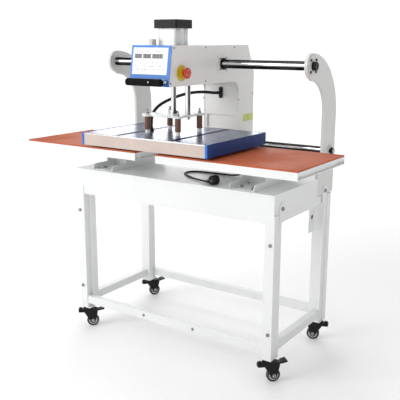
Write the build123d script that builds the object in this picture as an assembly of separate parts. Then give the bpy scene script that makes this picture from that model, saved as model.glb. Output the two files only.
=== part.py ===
"""Twin-station pneumatic heat press: a wheeled steel stand with two padded tables and a sliding press head.

Millimetres, +Z up, +X to the right of a person standing at the front, +Y towards the back.
The origin is on the floor, under the middle of the machine.
"""
from build123d import *
from math import atan2, cos, degrees, hypot, pi, radians, sin, tan
import os

# ---- driving dimensions -------------------------------------------------------------------------
WHEEL_R = 28            # caster wheel radius
CASTER_H = 97           # floor to the underside of a leg
LEG_H = 660             # underside of a leg to the top of the deck
DECK_TOP = CASTER_H + LEG_H
DECK_HALF = 497         # half length of the deck
DECK_DEPTH = 510
DECK_DROP = 79          # height of the deck's folded sides
FRONT = -197.75         # the deck's front edge; every y below is measured from it
SHEET = 3
FIT = 0.05              # radial clearance of a shaft in its bush

TABLE_X = 350           # centre of each lower table
TABLE_L, TABLE_D = 600, 400
TABLE_Y0 = FRONT - 132  # front edge of the tables
TABLE_TOP = DECK_TOP + 123
TABLE_H = 29
PLATE_T = 10
PAD_T = 6

LEG_X, LEG_Y, LEG_LIP = 40, 33, 30
WALL = 2.5
RAIL_H = 36             # height of the frame's horizontal tubes

HORN_T = 12
HORN_R = 250            # outer radius of the horn's sweep
HORN_INNER_R = 129
BOSS_R = 48
UPPER_Y, UPPER_Z, UPPER_R = FRONT + 279, DECK_TOP + 457, 18
LOWER_Y, LOWER_Z, LOWER_R = FRONT + 476, DECK_TOP + 105, 14

HEAD_X = -4             # where the head is parked along its rails
HEAD_HALF = 92
HEAD_TOP = DECK_TOP + 533
HEAD_BOTTOM = DECK_TOP + 380
HEAD_FRONT_TOP = FRONT - 72
HEAD_FRONT_LOW = FRONT - 95
COLUMN_FRONT = FRONT + 418
COLUMN_BACK = FRONT + 547
COLUMN_BOTTOM = DECK_TOP + 70
SIDE_T = 5
FLOOR_Z = HEAD_BOTTOM + 2 + SHEET   # what stands inside the arm stands here

RAM_Y = FRONT + 63
CAP_SIDE, CAP_H = 110, 33
BARREL_SIDE, BORE_R = 86, 40
BARREL_TOP = DECK_TOP + 597
ROD_R = 10.5
GUIDE_X = 70

PLATEN_L, PLATEN_D, PLATEN_H = 610, 430, 49
PLATEN_Z = DECK_TOP + 138
PLATEN_Y = FRONT + 65
PLATEN_TOP = PLATEN_Z + PLATEN_H
BLOCK_T = 25
FOOT_H, SPACER_H, PRESS_T = 16, 53, 9
SPACER_R = 12
SPREAD = 75             # half the spacing of the four spacers
PRESS_Z = PLATEN_TOP + FOOT_H + SPACER_H

LEAD_R = 3.75
HOSE_R = 6.5


# ---- helpers ------------------------------------------------------------------------------------
def box(x0, x1, y0, y1, z0, z1):
    """A block between two corners."""
    size = (x1 - x0, y1 - y0, z1 - z0)
    return Pos((x0 + x1) / 2, (y0 + y1) / 2, (z0 + z1) / 2) * Box(*size)


def rod(start, end, radius, end_radius=None):
    """A round bar, or a cone if end_radius is given, from one point to another."""
    a, b = Vector(*start), Vector(*end)
    length = (b - a).length
    plane = Plane(origin=a, z_dir=(b - a).normalized())
    if end_radius is None:
        body = Cylinder(radius, length)
    else:
        body = Cone(radius, end_radius, length)
    return plane * Pos(0, 0, length / 2) * body


def tube(start, end, outer, inner):
    """A round tube; the bore is cut a little past both ends."""
    a, b = Vector(*start), Vector(*end)
    over = (b - a).normalized() * 1
    return rod(start, end, outer) - rod(tuple(a - over), tuple(b + over), inner)


def side_profile(outline, x0, x1):
    """Extrude a closed outline drawn in Y and Z from x0 to x1."""
    face = Plane.YZ * make_face(outline)
    return Pos(x0, 0, 0) * extrude(face, x1 - x0, dir=(1, 0, 0))


def hex_bolt(start, direction, radius=6, height=5):
    """A low hexagon head with its washer, standing on a surface."""
    plane = Plane(origin=start, z_dir=direction)
    head = Pos(0, 0, 1) * extrude(RegularPolygon(radius, 6), height)
    return plane * (Pos(0, 0, 0.5) * Cylinder(radius * 1.25, 1) + head)


def joined(parts):
    """One shape from overlapping or touching parts."""
    whole = parts[0]
    for part in parts[1:]:
        whole = whole + part
    return whole


def group(parts):
    """Separate solids that share one node."""
    solids = []
    for part in parts:
        solids += list(part.solids())
    return Compound(solids)


nodes = {}


def mirrored(part):
    """The same part on the other side of the machine."""
    return mirror(part, about=Plane.YZ)


# ---- stand --------------------------------------------------------------------------------------
LEG_BOTTOM = CASTER_H
LEG_TOP = DECK_TOP - DECK_DROP
BACK = FRONT + DECK_DEPTH
FOOT_Y = FRONT + 374    # where the horns' feet take over from the deck's side
OUTER = DECK_HALF + SHEET


def deck():
    """Folded tray: flat top with four sides, set in at the back where the horns stand."""
    outer = box(-DECK_HALF, DECK_HALF, FRONT, BACK, DECK_TOP - DECK_DROP, DECK_TOP)
    outer = fillet(outer.edges().filter_by(Axis.X).group_by(Axis.Z)[-1], 2.5)
    inner = box(-DECK_HALF + SHEET, DECK_HALF - SHEET, FRONT + SHEET, BACK - SHEET,
                DECK_TOP - DECK_DROP - 1, DECK_TOP - SHEET)
    tray = outer - inner
    for side in (-1, 1):
        x0, x1 = sorted((side * (DECK_HALF - HORN_T), side * (DECK_HALF + 1)))
        tray = tray - box(x0, x1, FOOT_Y, BACK + 1, DECK_TOP - DECK_DROP - 1, DECK_TOP + 1)
    return tray


def hollow_post(x0, x1, y0, y1, z0, z1):
    """Square tube standing up, open at both ends."""
    inner = box(x0 + WALL, x1 - WALL, y0 + WALL, y1 - WALL, z0 - 1, z1 + 1)
    return box(x0, x1, y0, y1, z0, z1) - inner


def leg(side, at_back):
    """Corner post with a second folded strip behind it, a caster plate and an ear up the deck's side."""
    x_out = OUTER
    y0 = FRONT
    y1 = y0 + LEG_Y
    post = hollow_post(x_out - LEG_X, x_out, y0, y1, LEG_BOTTOM, LEG_TOP)
    strip = hollow_post(x_out - LEG_X - 12, x_out - 3, y1 - WALL, y1 + LEG_LIP, LEG_BOTTOM, LEG_TOP)
    plate = box(x_out - LEG_X - 12, x_out, y0, y1 + LEG_LIP, LEG_BOTTOM, LEG_BOTTOM + 4)
    ear_mid = y0 + 62
    ear = box(DECK_HALF, x_out, ear_mid - 22, ear_mid + 22, LEG_TOP - 34, LEG_TOP + 20)
    ear = ear + rod((DECK_HALF, ear_mid, LEG_TOP + 20), (x_out, ear_mid, LEG_TOP + 20), 22)
    shape = joined([post, strip, plate, ear])
    foot = (x_out - 22, y0 + 20)
    stem_hole = rod((*foot, LEG_BOTTOM - 1), (*foot, LEG_BOTTOM + 16), 6 + FIT)
    shape = shape - stem_hole
    if at_back:
        shape = mirror(shape, about=Plane.XZ.offset(-(FRONT + BACK) / 2))
    return shape if side > 0 else mirrored(shape)


def frame_rails(z0):
    """Four square tubes between the legs at one height."""
    z1 = z0 + RAIL_H
    inset_x = OUTER - LEG_X
    inset_y = LEG_Y + LEG_LIP
    rails = []
    for y in (FRONT + 3, BACK - 3 - 26):
        rails.append(tube_box((-inset_x, inset_x), (y, y + 26), (z0, z1), "x"))
    for x in (-OUTER + 5, OUTER - 5 - 30):
        rails.append(tube_box((x, x + 30), (FRONT + inset_y, BACK - inset_y), (z0, z1), "y"))
    return group(rails)


def hanging_bracket():
    """Plate that hangs from the right side rail near the back, with a hole for a cable plug."""
    x1 = OUTER - 5 - 30
    plate = box(x1 - 3, x1, FRONT + 378, FRONT + 428, LEG_TOP - 158, LEG_TOP - 2)
    hole = (FRONT + 405, LEG_TOP - 93)
    return plate - rod((x1 - 4, *hole), (x1 + 1, *hole), 10)


def tube_box(xs, ys, zs, along):
    """Rectangular tube lying along X or Y."""
    cut_x = (xs[0] - 1, xs[1] + 1) if along == "x" else (xs[0] + WALL, xs[1] - WALL)
    cut_y = (ys[0] - 1, ys[1] + 1) if along == "y" else (ys[0] + WALL, ys[1] - WALL)
    return box(*xs, *ys, *zs) - box(*cut_x, *cut_y, zs[0] + WALL, zs[1] - WALL)


def frame_bolts():
    """Hexagon bolts of the frame, the horns' feet and the table supports."""
    heads = []
    for side in (-1, 1):
        for z in (LEG_TOP - 114, LEG_BOTTOM + 108):
            heads.append(hex_bolt((side * (OUTER - 16), FRONT, z), (0, -1, 0)))
            heads.append(hex_bolt((side * (OUTER - 16), BACK, z), (0, 1, 0)))
        for y in (FRONT + 62, BACK - 62):
            heads.append(hex_bolt((side * OUTER, y, LEG_TOP + 18), (side, 0, 0), 7))
        for x in (side * TABLE_X - 26, side * TABLE_X + 26):
            for y in (FRONT + 55, FRONT + 330):
                heads.append(hex_bolt((x, y, DECK_TOP + SHEET), (0, 0, 1), 7, 7))
    for x in (-130, 130):
        heads.append(hex_bolt((x, FRONT + 3, LEG_BOTTOM + 42), (0, -1, 0), 5, 3))
        heads.append(hex_bolt((x, BACK - 3, LEG_BOTTOM + 42), (0, 1, 0), 5, 3))
    return group(heads)


def horn():
    """Thick plate that sweeps forward from the back of the deck to carry the upper rail."""
    x0 = DECK_HALF - HORN_T
    mid_y = UPPER_Y
    knee_z = UPPER_Z + BOSS_R - HORN_R
    inner_y = mid_y + HORN_INNER_R + 4
    inner_z = DECK_TOP + 271
    foot_z = DECK_TOP - DECK_DROP + 3
    diag = sin(radians(45))
    top = (mid_y, UPPER_Z + BOSS_R)
    outer_mid = (mid_y + HORN_R * diag, knee_z + HORN_R * diag)
    outer_end = (mid_y + HORN_R, knee_z)
    arm_end = (inner_y - HORN_INNER_R, inner_z + HORN_INNER_R)
    inner_mid = (inner_y - HORN_INNER_R * (1 - diag), inner_z + HORN_INNER_R * diag)
    sweep = ThreePointArc(top, outer_mid, outer_end)
    back = Polyline(outer_end, (mid_y + HORN_R, foot_z), (FOOT_Y, foot_z), (FOOT_Y, DECK_TOP + 30),
                    (inner_y, DECK_TOP + 90), (inner_y, inner_z))
    throat = ThreePointArc((inner_y, inner_z), inner_mid, arm_end)
    nose = Polyline(arm_end, (mid_y - 14, UPPER_Z - BOSS_R + 2), top)
    plate = side_profile([sweep, back, throat, nose], x0, DECK_HALF)
    plate = plate + rod((x0, UPPER_Y, UPPER_Z), (DECK_HALF, UPPER_Y, UPPER_Z), BOSS_R)
    for y, z, radius in ((UPPER_Y, UPPER_Z, UPPER_R), (LOWER_Y, LOWER_Z, LOWER_R)):
        plate = plate - rod((x0 - 1, y, z), (DECK_HALF + 1, y, z), radius + FIT)
    return plate


def rail_mounts():
    """Flange, screws and end plug on the outer face of a horn, for both rails and both sides."""
    parts = []
    for y, z, radius, rail_r, reach in ((UPPER_Y, UPPER_Z, 40, UPPER_R, 10),
                                        (LOWER_Y, LOWER_Z, 25, LOWER_R, 20)):
        flange = rod((DECK_HALF, y, z), (DECK_HALF + 4, y, z), radius)
        plug = rod((DECK_HALF + 4, y, z), (DECK_HALF + reach, y, z), rail_r - 2)
        part = flange + plug
        for quarter in range(4):
            turn = radians(45 + 90 * quarter)
            spot = (DECK_HALF + 4, y + (radius - 8) * cos(turn), z + (radius - 8) * sin(turn))
            part = part + hex_bolt(spot, (1, 0, 0), 4, 3)
        parts += [part, mirrored(part)]
    return group(parts)


def rail(y, z, radius):
    """Ground steel bar between the horns."""
    bar = rod((-DECK_HALF, y, z), (DECK_HALF, y, z), radius)
    return bar


def table(side):
    """Lower table: a plate stiffened by a front and a back channel and a flanged web across each end."""
    x0, x1 = side * TABLE_X - TABLE_L / 2, side * TABLE_X + TABLE_L / 2
    y0, y1 = TABLE_Y0, TABLE_Y0 + TABLE_D
    z0 = TABLE_TOP - TABLE_H
    parts = [box(x0, x1, y0, y1, TABLE_TOP - PLATE_T, TABLE_TOP)]
    for y in (y0, y1 - 34):
        channel = box(x0, x1, y, y + 34, z0, TABLE_TOP - PLATE_T)
        parts.append(channel - box(x0 - 1, x1 + 1, y + 3, y + 31, z0 + 3, TABLE_TOP - PLATE_T - 3))
    for end, inward in ((x0, 1), (x1, -1)):
        web = sorted((end + inward * 8, end + inward * 11))
        flange = sorted((end, end + inward * 22))
        parts.append(box(*web, y0 + 1, y1 - 1, z0 + 1, TABLE_TOP - PLATE_T))
        parts.append(box(*flange, y0 + 33, y1 - 33, z0, z0 + 3))
    return joined(parts)


def pad(side):
    """Silicone rubber sheet lying on a table."""
    x0, x1 = side * TABLE_X - TABLE_L / 2, side * TABLE_X + TABLE_L / 2
    sheet = box(x0, x1, TABLE_Y0, TABLE_Y0 + TABLE_D, TABLE_TOP, TABLE_TOP + PAD_T)
    return fillet(sheet.edges().filter_by(Axis.Z), 3)


SUPPORT_W = 110
SUPPORT_LOW = 25        # height of the support's front lugs
SUPPORT_STEP = FRONT + 102
SUPPORT_END = FRONT + 385


def supports():
    """U-shaped table supports: low rounded lugs in front, full-height walls under the tables."""
    parts = []
    top = TABLE_TOP - TABLE_H
    y0 = FRONT + 9
    for side in (-1, 1):
        x0 = side * TABLE_X - SUPPORT_W / 2
        x1 = x0 + SUPPORT_W
        shape = box(x0, x1, y0 + 6, SUPPORT_END, DECK_TOP, DECK_TOP + SHEET)
        for x in (x0, x1 - SHEET):
            low = box(x, x + SHEET, y0, SUPPORT_STEP, DECK_TOP, DECK_TOP + SUPPORT_LOW)
            corner = low.edges().filter_by(Axis.X).sort_by_distance((x, y0, DECK_TOP + SUPPORT_LOW))[0]
            low = fillet(corner, 18)
            high = box(x, x + SHEET, SUPPORT_STEP - 1, SUPPORT_END, DECK_TOP, top)
            shape = joined([shape, low, high])
        for y in (FRONT + 150, FRONT + 250):
            shape = shape + box(x0, x1, y, y + SHEET, DECK_TOP, top)
        parts.append(shape)
    return group(parts)


nodes["deck_tray"] = deck()
for side, side_name in ((-1, "left"), (1, "right")):
    for at_back, end_name in ((False, "front"), (True, "back")):
        nodes[f"leg_{end_name}_{side_name}"] = leg(side, at_back)
nodes["frame_rails_upper"] = group([frame_rails(LEG_TOP - RAIL_H), hanging_bracket()])
nodes["frame_rails_lower"] = frame_rails(LEG_BOTTOM + 24)
nodes["frame_bolts"] = frame_bolts()
nodes["horn_right"] = horn()
nodes["horn_left"] = mirrored(nodes["horn_right"])
nodes["rail_mounts"] = rail_mounts()
nodes["upper_rail"] = rail(UPPER_Y, UPPER_Z, UPPER_R)
nodes["rear_rail"] = rail(LOWER_Y, LOWER_Z, LOWER_R)
nodes["table_left"] = table(-1)
nodes["table_right"] = table(1)
nodes["pad_left"] = pad(-1)
nodes["pad_right"] = pad(1)
nodes["table_supports"] = supports()


# ---- casters ------------------------------------------------------------------------------------
FORK_HALF = 12          # inside half width of the fork
WHEEL_HALF = 9
AXLE_R = 4
TRAIL = 22              # wheel axle behind the swivel axis
STEM_X = OUTER - 22
STEM_Y = 20
PIN_X = 38              # the pedal's pin, from the swivel axis
PIN_Z = CASTER_H - 22
PEDAL_LIFT = 12         # degrees that the pedal stands up when the brake is off


def fork():
    """Swivel head with its stem, two cheeks, the axle, the pedal's pin and a lug with its screw."""
    top = CASTER_H
    half = FORK_HALF + 3
    head = rod((0, 0, top - 12), (0, 0, top - 0.5), 21)
    stem = rod((0, 0, top - 1), (0, 0, top + 14), 6)
    crown = box(-20, 30, -half, half, top - 18, top - 11)
    parts = [head, stem, crown]
    for y in (-half, FORK_HALF):
        outline = Polyline((-20, top - 11), (-20, top - 24), (TRAIL - 13, WHEEL_R), (TRAIL + 13, WHEEL_R),
                           (PIN_X + 7, PIN_Z - 6), (PIN_X + 7, PIN_Z + 7), (30, top - 11), close=True)
        cheek = Pos(0, y + 3, 0) * extrude(Plane.XZ * make_face(outline), 3)
        eye = rod((TRAIL, y, WHEEL_R), (TRAIL, y + 3, WHEEL_R), 13)
        parts += [cheek, eye]
    parts.append(rod((TRAIL, -half - 2, WHEEL_R), (TRAIL, half + 2, WHEEL_R), AXLE_R))
    parts.append(rod((PIN_X, -half - 1, PIN_Z), (PIN_X, half + 1, PIN_Z), 3))
    lug = box(-44, -12, -13, 13, top - 28, top - 14)
    parts.append(fillet(lug.edges().filter_by(Axis.Z), 6))
    parts.append(rod((-34, 0, top - 15), (-34, 0, top - 8), 7))
    return joined(parts)


def wheel():
    """Rubber-tyred wheel with a stepped hub on both faces."""
    body = rod((TRAIL, -WHEEL_HALF, WHEEL_R), (TRAIL, WHEEL_HALF, WHEEL_R), WHEEL_R)
    body = fillet(body.edges().filter_by(GeomType.CIRCLE), 3)
    for face in (-1, 1):
        y0 = face * (WHEEL_HALF + 1)
        y1 = face * (WHEEL_HALF - 2.5)
        body = body - tube((TRAIL, y0, WHEEL_R), (TRAIL, y1, WHEEL_R), 20, 9)
    return body - rod((TRAIL, -WHEEL_HALF - 1, WHEEL_R), (TRAIL, WHEEL_HALF + 1, WHEEL_R), AXLE_R + FIT)


def pedal():
    """Brake lever hinged on the fork's pin, over the wheel, with a wide toe plate."""
    place = Pos(PIN_X, 0, PIN_Z) * Rot(0, -PEDAL_LIFT, 0)
    eye = rod((PIN_X, -10, PIN_Z), (PIN_X, 10, PIN_Z), 6.5)
    arm = place * box(0, 20, -10, 10, -3, 6)
    toe = place * box(16, 40, -17, 17, 0, 6)
    toe = fillet(toe.edges().filter_by(Axis.Y).sort_by(Axis.X)[-2:], 2.5)
    body = joined([eye, arm, toe])
    return body - rod((PIN_X, -11, PIN_Z), (PIN_X, 11, PIN_Z), 3 + FIT)


CASTERS = {                 # side, back or front, direction in which the wheel trails (degrees)
    "front_left": (-1, False, 40),
    "front_right": (1, False, 48),
    "back_left": (-1, True, 58),
    "back_right": (1, True, 198),
}
for name, (side, at_back, heading) in CASTERS.items():
    stem_y = BACK - STEM_Y if at_back else FRONT + STEM_Y
    place = Pos(side * STEM_X, stem_y, 0) * Rot(0, 0, heading)
    nodes[f"caster_fork_{name}"] = place * fork()
    nodes[f"caster_wheel_{name}"] = place * wheel()
    nodes[f"caster_pedal_{name}"] = place * pedal()


# ---- short plug lead on the deck ----------------------------------------------------------------
LEAD_WALL = TABLE_X - SUPPORT_W / 2             # left wall of the right-hand table support
LEAD_Z = DECK_TOP + LEAD_R + 0.3
GLAND_Y, GLAND_Z = FRONT + 228, DECK_TOP + 18
GLAND_L = 38
PLUG_X, PLUG_Y, PLUG_R, PLUG_L = 208, FRONT + 39, 18.5, 30
PLUG_TURN = 194                                 # where the cord comes from, degrees from +X
BOOT_END = 46                                   # from the plug's middle to the end of its boot
LEAD_POINTS = [
    (LEAD_WALL - GLAND_L, GLAND_Y, GLAND_Z),
    (LEAD_WALL - GLAND_L - 26, GLAND_Y, GLAND_Z),
    (LEAD_WALL - GLAND_L - 62, GLAND_Y - 3, LEAD_Z + 1),
    (145, FRONT + 221, LEAD_Z),
    (95, FRONT + 222, LEAD_Z),
    (47, FRONT + 217, LEAD_Z),
    (5, FRONT + 212, LEAD_Z),
    (-18, FRONT + 184, LEAD_Z),
    (-14, FRONT + 148, LEAD_Z),
    (17, FRONT + 124, LEAD_Z),
    (58, FRONT + 93, LEAD_Z),
    (PLUG_X + 96 * cos(radians(PLUG_TURN)), PLUG_Y - 96 * sin(radians(PLUG_TURN)), LEAD_Z + 2),
    (PLUG_X + BOOT_END * cos(radians(PLUG_TURN)), PLUG_Y - BOOT_END * sin(radians(PLUG_TURN)), LEAD_Z + 2),
]


def rounded_route(points, label):
    """Straight runs joined by the largest tangent arcs that fit; prints each arc's radius."""
    corners = [Vector(*p) for p in points]
    radii = []
    for before, corner, after in zip(corners, corners[1:], corners[2:]):
        turn = radians((corner - before).get_angle(after - corner))
        shorter = min((corner - before).length, (after - corner).length)
        radii.append(0.45 * shorter / tan(turn / 2))
    print(label, "arc radii, mm:", [round(r) for r in radii])
    return FilletPolyline(*corners, radius=radii)


def cord_tube(points, radius, label):
    """Round cord along its route; prints how its volume compares with section times length."""
    route = rounded_route(points, label)
    start = corners_plane(points)
    solid = sweep(start * Circle(radius), path=route)
    ideal = pi * radius**2 * route.length
    print(label, "length", round(route.length), "volume over section times length",
          round(solid.volume / ideal, 4))
    return solid


def corners_plane(points):
    """Plane across the first run of a route."""
    a, b = Vector(*points[0]), Vector(*points[1])
    return Plane(origin=a, z_dir=(b - a).normalized())


def lead_gland():
    """Flange and tapered strain relief where the lead leaves the support's wall."""
    flange = rod((LEAD_WALL - 4, GLAND_Y, GLAND_Z), (LEAD_WALL, GLAND_Y, GLAND_Z), 11)
    neck = rod((LEAD_WALL - 5, GLAND_Y, GLAND_Z), (LEAD_WALL - GLAND_L, GLAND_Y, GLAND_Z), 8, LEAD_R + 0.8)
    return flange + neck


def plug():
    """Angled mains plug lying on its rim: round body, boot at the side, two pins in front."""
    body = Rot(90, 0, 0) * Cylinder(PLUG_R, PLUG_L)
    body = fillet(body.edges().filter_by(GeomType.CIRCLE), 3)
    boot_z = LEAD_Z + 2 - (DECK_TOP + PLUG_R + 0.2)
    boot = rod((-BOOT_END, 0, boot_z), (-8, 0, boot_z), LEAD_R + 0.8, 5.6)
    pins = [rod((x, -PLUG_L / 2 + 1, 0), (x, -PLUG_L / 2 - 17, 0), 2.4) for x in (-9.5, 9.5)]
    shape = joined([body, boot, *pins])
    return Pos(PLUG_X, PLUG_Y, DECK_TOP + PLUG_R + 0.2) * Rot(0, 0, 180 - PLUG_TURN) * shape


nodes["lead_gland"] = lead_gland()
nodes["lead_cord"] = cord_tube(LEAD_POINTS, LEAD_R, "plug lead")
nodes["lead_plug"] = plug()


# ---- press head, built about x = 0 and parked at HEAD_X -----------------------------------------
def front_y(z):
    """The head's front leans forward towards its bottom edge."""
    share = (HEAD_TOP - z) / (HEAD_TOP - HEAD_BOTTOM)
    return HEAD_FRONT_TOP + share * (HEAD_FRONT_LOW - HEAD_FRONT_TOP)


CORNER = 48             # corner between the arm and the column
SLOPE_Y, SLOPE_Z = FRONT + 490, DECK_TOP + 415


def head_side():
    """C-shaped cheek plate of the head, with clearance holes for both rails."""
    outline = Polyline((HEAD_FRONT_TOP, HEAD_TOP), (SLOPE_Y, HEAD_TOP), (COLUMN_BACK, SLOPE_Z),
                       (COLUMN_BACK, COLUMN_BOTTOM), (COLUMN_FRONT, COLUMN_BOTTOM),
                       (COLUMN_FRONT, HEAD_BOTTOM), (HEAD_FRONT_LOW, HEAD_BOTTOM), close=True)
    plate = side_profile(outline, HEAD_HALF - SIDE_T, HEAD_HALF)
    inner_corner = (HEAD_HALF, COLUMN_FRONT, HEAD_BOTTOM)
    plate = fillet(plate.edges().filter_by(Axis.X).sort_by_distance(inner_corner)[0], CORNER)
    shoulder = (HEAD_HALF, COLUMN_BACK, SLOPE_Z)
    plate = fillet(plate.edges().filter_by(Axis.X).sort_by_distance(shoulder)[0], 25)
    for y, z, radius in ((UPPER_Y, UPPER_Z, UPPER_R + 7), (LOWER_Y, LOWER_Z, LOWER_R + 7)):
        plate = plate - rod((HEAD_HALF - SIDE_T - 1, y, z), (HEAD_HALF + 1, y, z), radius)
    return plate


def sheet_strip(points, half_width, thickness=SHEET):
    """Folded sheet across the head through the (y, z) points, its thickness to the right of their run."""
    rights = []
    for (y0, z0), (y1, z1) in zip(points, points[1:]):
        length = hypot(y1 - y0, z1 - z0)
        rights.append(((z1 - z0) / length, (y0 - y1) / length))
    inner = []
    for (y, z), (ay, az), (by, bz) in zip(points, rights[:1] + rights, rights + rights[-1:]):
        share = thickness / (1 + ay * by + az * bz)
        inner.append((y + share * (ay + by), z + share * (az + bz)))
    return side_profile(Polyline(*points, *reversed(inner), close=True), -half_width, half_width)


def head_cover():
    """White folded cover: sloping front, top and back between the cheeks."""
    half = HEAD_HALF - SIDE_T
    drop = 1
    points = [(front_y(HEAD_BOTTOM) + 1, HEAD_BOTTOM + 0.5), (HEAD_FRONT_TOP + 1, HEAD_TOP - drop),
              (SLOPE_Y - 1, HEAD_TOP - drop), (COLUMN_BACK - 1, SLOPE_Z), (COLUMN_BACK - 1, COLUMN_BOTTOM)]
    cover = sheet_strip(points, half)
    hole = BARREL_SIDE / 2 + 0.5
    cover = cover - box(-hole, hole, RAM_Y - hole, RAM_Y + hole, HEAD_TOP - 10, HEAD_TOP + 5)
    silencer = rod((SILENCER_X, SILENCER_Y, HEAD_TOP - 10), (SILENCER_X, SILENCER_Y, HEAD_TOP + 1), 8)
    return cover - silencer


SILENCER_X, SILENCER_Y = -53, FRONT
GLAND_HEAD_Z = DECK_TOP + 327
HOSE_HEAD_Y = COLUMN_FRONT - 12


def column_cover():
    """Lower folded cover: underside of the arm, slanting corner and front of the column."""
    half = HEAD_HALF - SIDE_T
    cut = CORNER / 2
    points = [(COLUMN_FRONT + 2, COLUMN_BOTTOM), (COLUMN_FRONT + 2, HEAD_BOTTOM - cut + 2),
              (COLUMN_FRONT - cut + 2, HEAD_BOTTOM + 2), (HEAD_FRONT_LOW + 8, HEAD_BOTTOM + 2)]
    cover = sheet_strip(points, half)
    window = box(-76, 64, COLUMN_FRONT - 5, COLUMN_FRONT + 12, DECK_TOP + 170, DECK_TOP + 229)
    pocket = box(-79, 67, COLUMN_FRONT + 14, COLUMN_FRONT + 16, DECK_TOP + 167, DECK_TOP + 232)
    rim = box(-79, 67, COLUMN_FRONT + 3, COLUMN_FRONT + 15, DECK_TOP + 167, DECK_TOP + 232)
    cover = (cover + rim + pocket) - window
    for x, radius in ((0, ROD_R + 4), (GUIDE_X, ROD_R + 3)):
        cover = cover - rod((x, RAM_Y, HEAD_BOTTOM - 5), (x, RAM_Y, HEAD_BOTTOM + 12), radius)
    return cover


def rail_bushes():
    """Two long bushes that carry the head on its rails, with a flange and screws at each end."""
    parts = []
    for y, z, rail_r, sleeve, flange_r in ((UPPER_Y, UPPER_Z, UPPER_R, 24.5, BOSS_R),
                                           (LOWER_Y, LOWER_Z, LOWER_R, 20.5, 30)):
        shape = rod((-HEAD_HALF, y, z), (HEAD_HALF, y, z), sleeve)
        for side in (-1, 1):
            inner, outer = side * HEAD_HALF, side * (HEAD_HALF + 4)
            shape = shape + rod((inner, y, z), (outer, y, z), flange_r)
            for quarter in range(4):
                turn = radians(45 + 90 * quarter)
                spot = (outer, y + (flange_r - 8) * cos(turn), z + (flange_r - 8) * sin(turn))
                shape = shape + hex_bolt(spot, (side, 0, 0), 4, 2)
        parts.append(shape - rod((-HEAD_HALF - 9, y, z), (HEAD_HALF + 9, y, z), rail_r + FIT))
    return group(parts)


def cylinder_barrel():
    """Square-outside air cylinder barrel with a round bore."""
    low = FLOOR_Z + CAP_H
    half = BARREL_SIDE / 2
    barrel = box(-half, half, RAM_Y - half, RAM_Y + half, low, BARREL_TOP)
    barrel = fillet(barrel.edges().filter_by(Axis.Z), 8)
    return barrel - rod((0, RAM_Y, low - 1), (0, RAM_Y, BARREL_TOP + 1), BORE_R)


def cylinder_caps():
    """Cast end caps of the air cylinder; the lower one guides the piston rod."""
    half = CAP_SIDE / 2
    caps = []
    for z in (FLOOR_Z, BARREL_TOP):
        cap = box(-half, half, RAM_Y - half, RAM_Y + half, z, z + CAP_H)
        caps.append(fillet(cap.edges().filter_by(Axis.Z), 6))
    top = BARREL_TOP + CAP_H
    for x in (-42, 42):
        for y in (-42, 42):
            spot = (x, RAM_Y + y)
            counterbore = tube((*spot, top - 2), (*spot, top + 1), 7, 5.5)
            socket = rod((*spot, top - 4), (*spot, top + 1), 2.5)
            caps[1] = caps[1] - counterbore - socket
    caps[0] = caps[0] - rod((0, RAM_Y, HEAD_BOTTOM - 1), (0, RAM_Y, FLOOR_Z + CAP_H + 1), ROD_R + FIT)
    return group(caps)


def guide_bush():
    """Bush for the guide rod, on the underside of the arm."""
    return tube((GUIDE_X, RAM_Y, FLOOR_Z), (GUIDE_X, RAM_Y, FLOOR_Z + 60), 14.5, ROD_R + FIT)


def silencer():
    """Exhaust silencer that stands on the head's top."""
    base = HEAD_TOP - 1
    body = rod((SILENCER_X, SILENCER_Y, base), (SILENCER_X, SILENCER_Y, base + 24), 13)
    neck = rod((SILENCER_X, SILENCER_Y, base - 14), (SILENCER_X, SILENCER_Y, base + 1), 7.5)
    return fillet(body.edges().filter_by(GeomType.CIRCLE).group_by(Axis.Z)[-1], 2) + neck


LEAN = degrees(atan2(HEAD_FRONT_TOP - HEAD_FRONT_LOW, HEAD_TOP - HEAD_BOTTOM))
PANEL_HALF = 95


def on_front(x0, x1, low, high, back, front):
    """Block on the leaning front; low and high run along the slope, measured down from the top edge."""
    block = box(x0, x1, -front, -back, -high, -low)
    return Pos(0, HEAD_FRONT_TOP, HEAD_TOP) * Rot(-LEAN, 0, 0) * block


def panel_frame():
    """Blue panel plate on the head's front, with two legs that run down past the handle."""
    plate = on_front(-PANEL_HALF, PANEL_HALF, 0, 125, 0, 3)
    legs = [on_front(x0, x1, 124, 154, 0, 3) for x0, x1 in ((-95, -67), (67, 95))]
    pocket = on_slope_button(START_R + 0.3, -1, 4)
    return joined([plate, *legs]) - pocket


def on_slope_button(radius, back, front):
    """Round bar square to the leaning front at the start button, from back to front of the slope."""
    middle = (HEAD_TOP - START_Z) / cos(radians(LEAN))
    bar = rod((START_X, -back, -middle), (START_X, -front, -middle), radius)
    return Pos(0, HEAD_FRONT_TOP, HEAD_TOP) * Rot(-LEAN, 0, 0) * bar


def panel_overlay():
    """White keypad film with the displays."""
    return on_front(-85, 81, 9, 110, 3.0, 4.0)


HANDLE_Y, HANDLE_Z, HANDLE_R = FRONT - 125, DECK_TOP + 397, 14
START_X, START_Z, START_R = 80, DECK_TOP + 397, 6


def handle_bar():
    """Round grip across the front on two stand-offs."""
    grip = rod((-85, HANDLE_Y, HANDLE_Z), (85, HANDLE_Y, HANDLE_Z), HANDLE_R)
    grip = fillet(grip.edges().filter_by(GeomType.CIRCLE), 6)
    posts = [rod((x, HANDLE_Y, HANDLE_Z), (x, front_y(HANDLE_Z), HANDLE_Z), 6) for x in (-56, 52)]
    return joined([grip, *posts]) - head_front_half()


def head_front_half():
    """Everything behind the head's leaning front, for trimming what stands on it."""
    return on_front(-200, 200, -50, 250, -300, 0)


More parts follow.
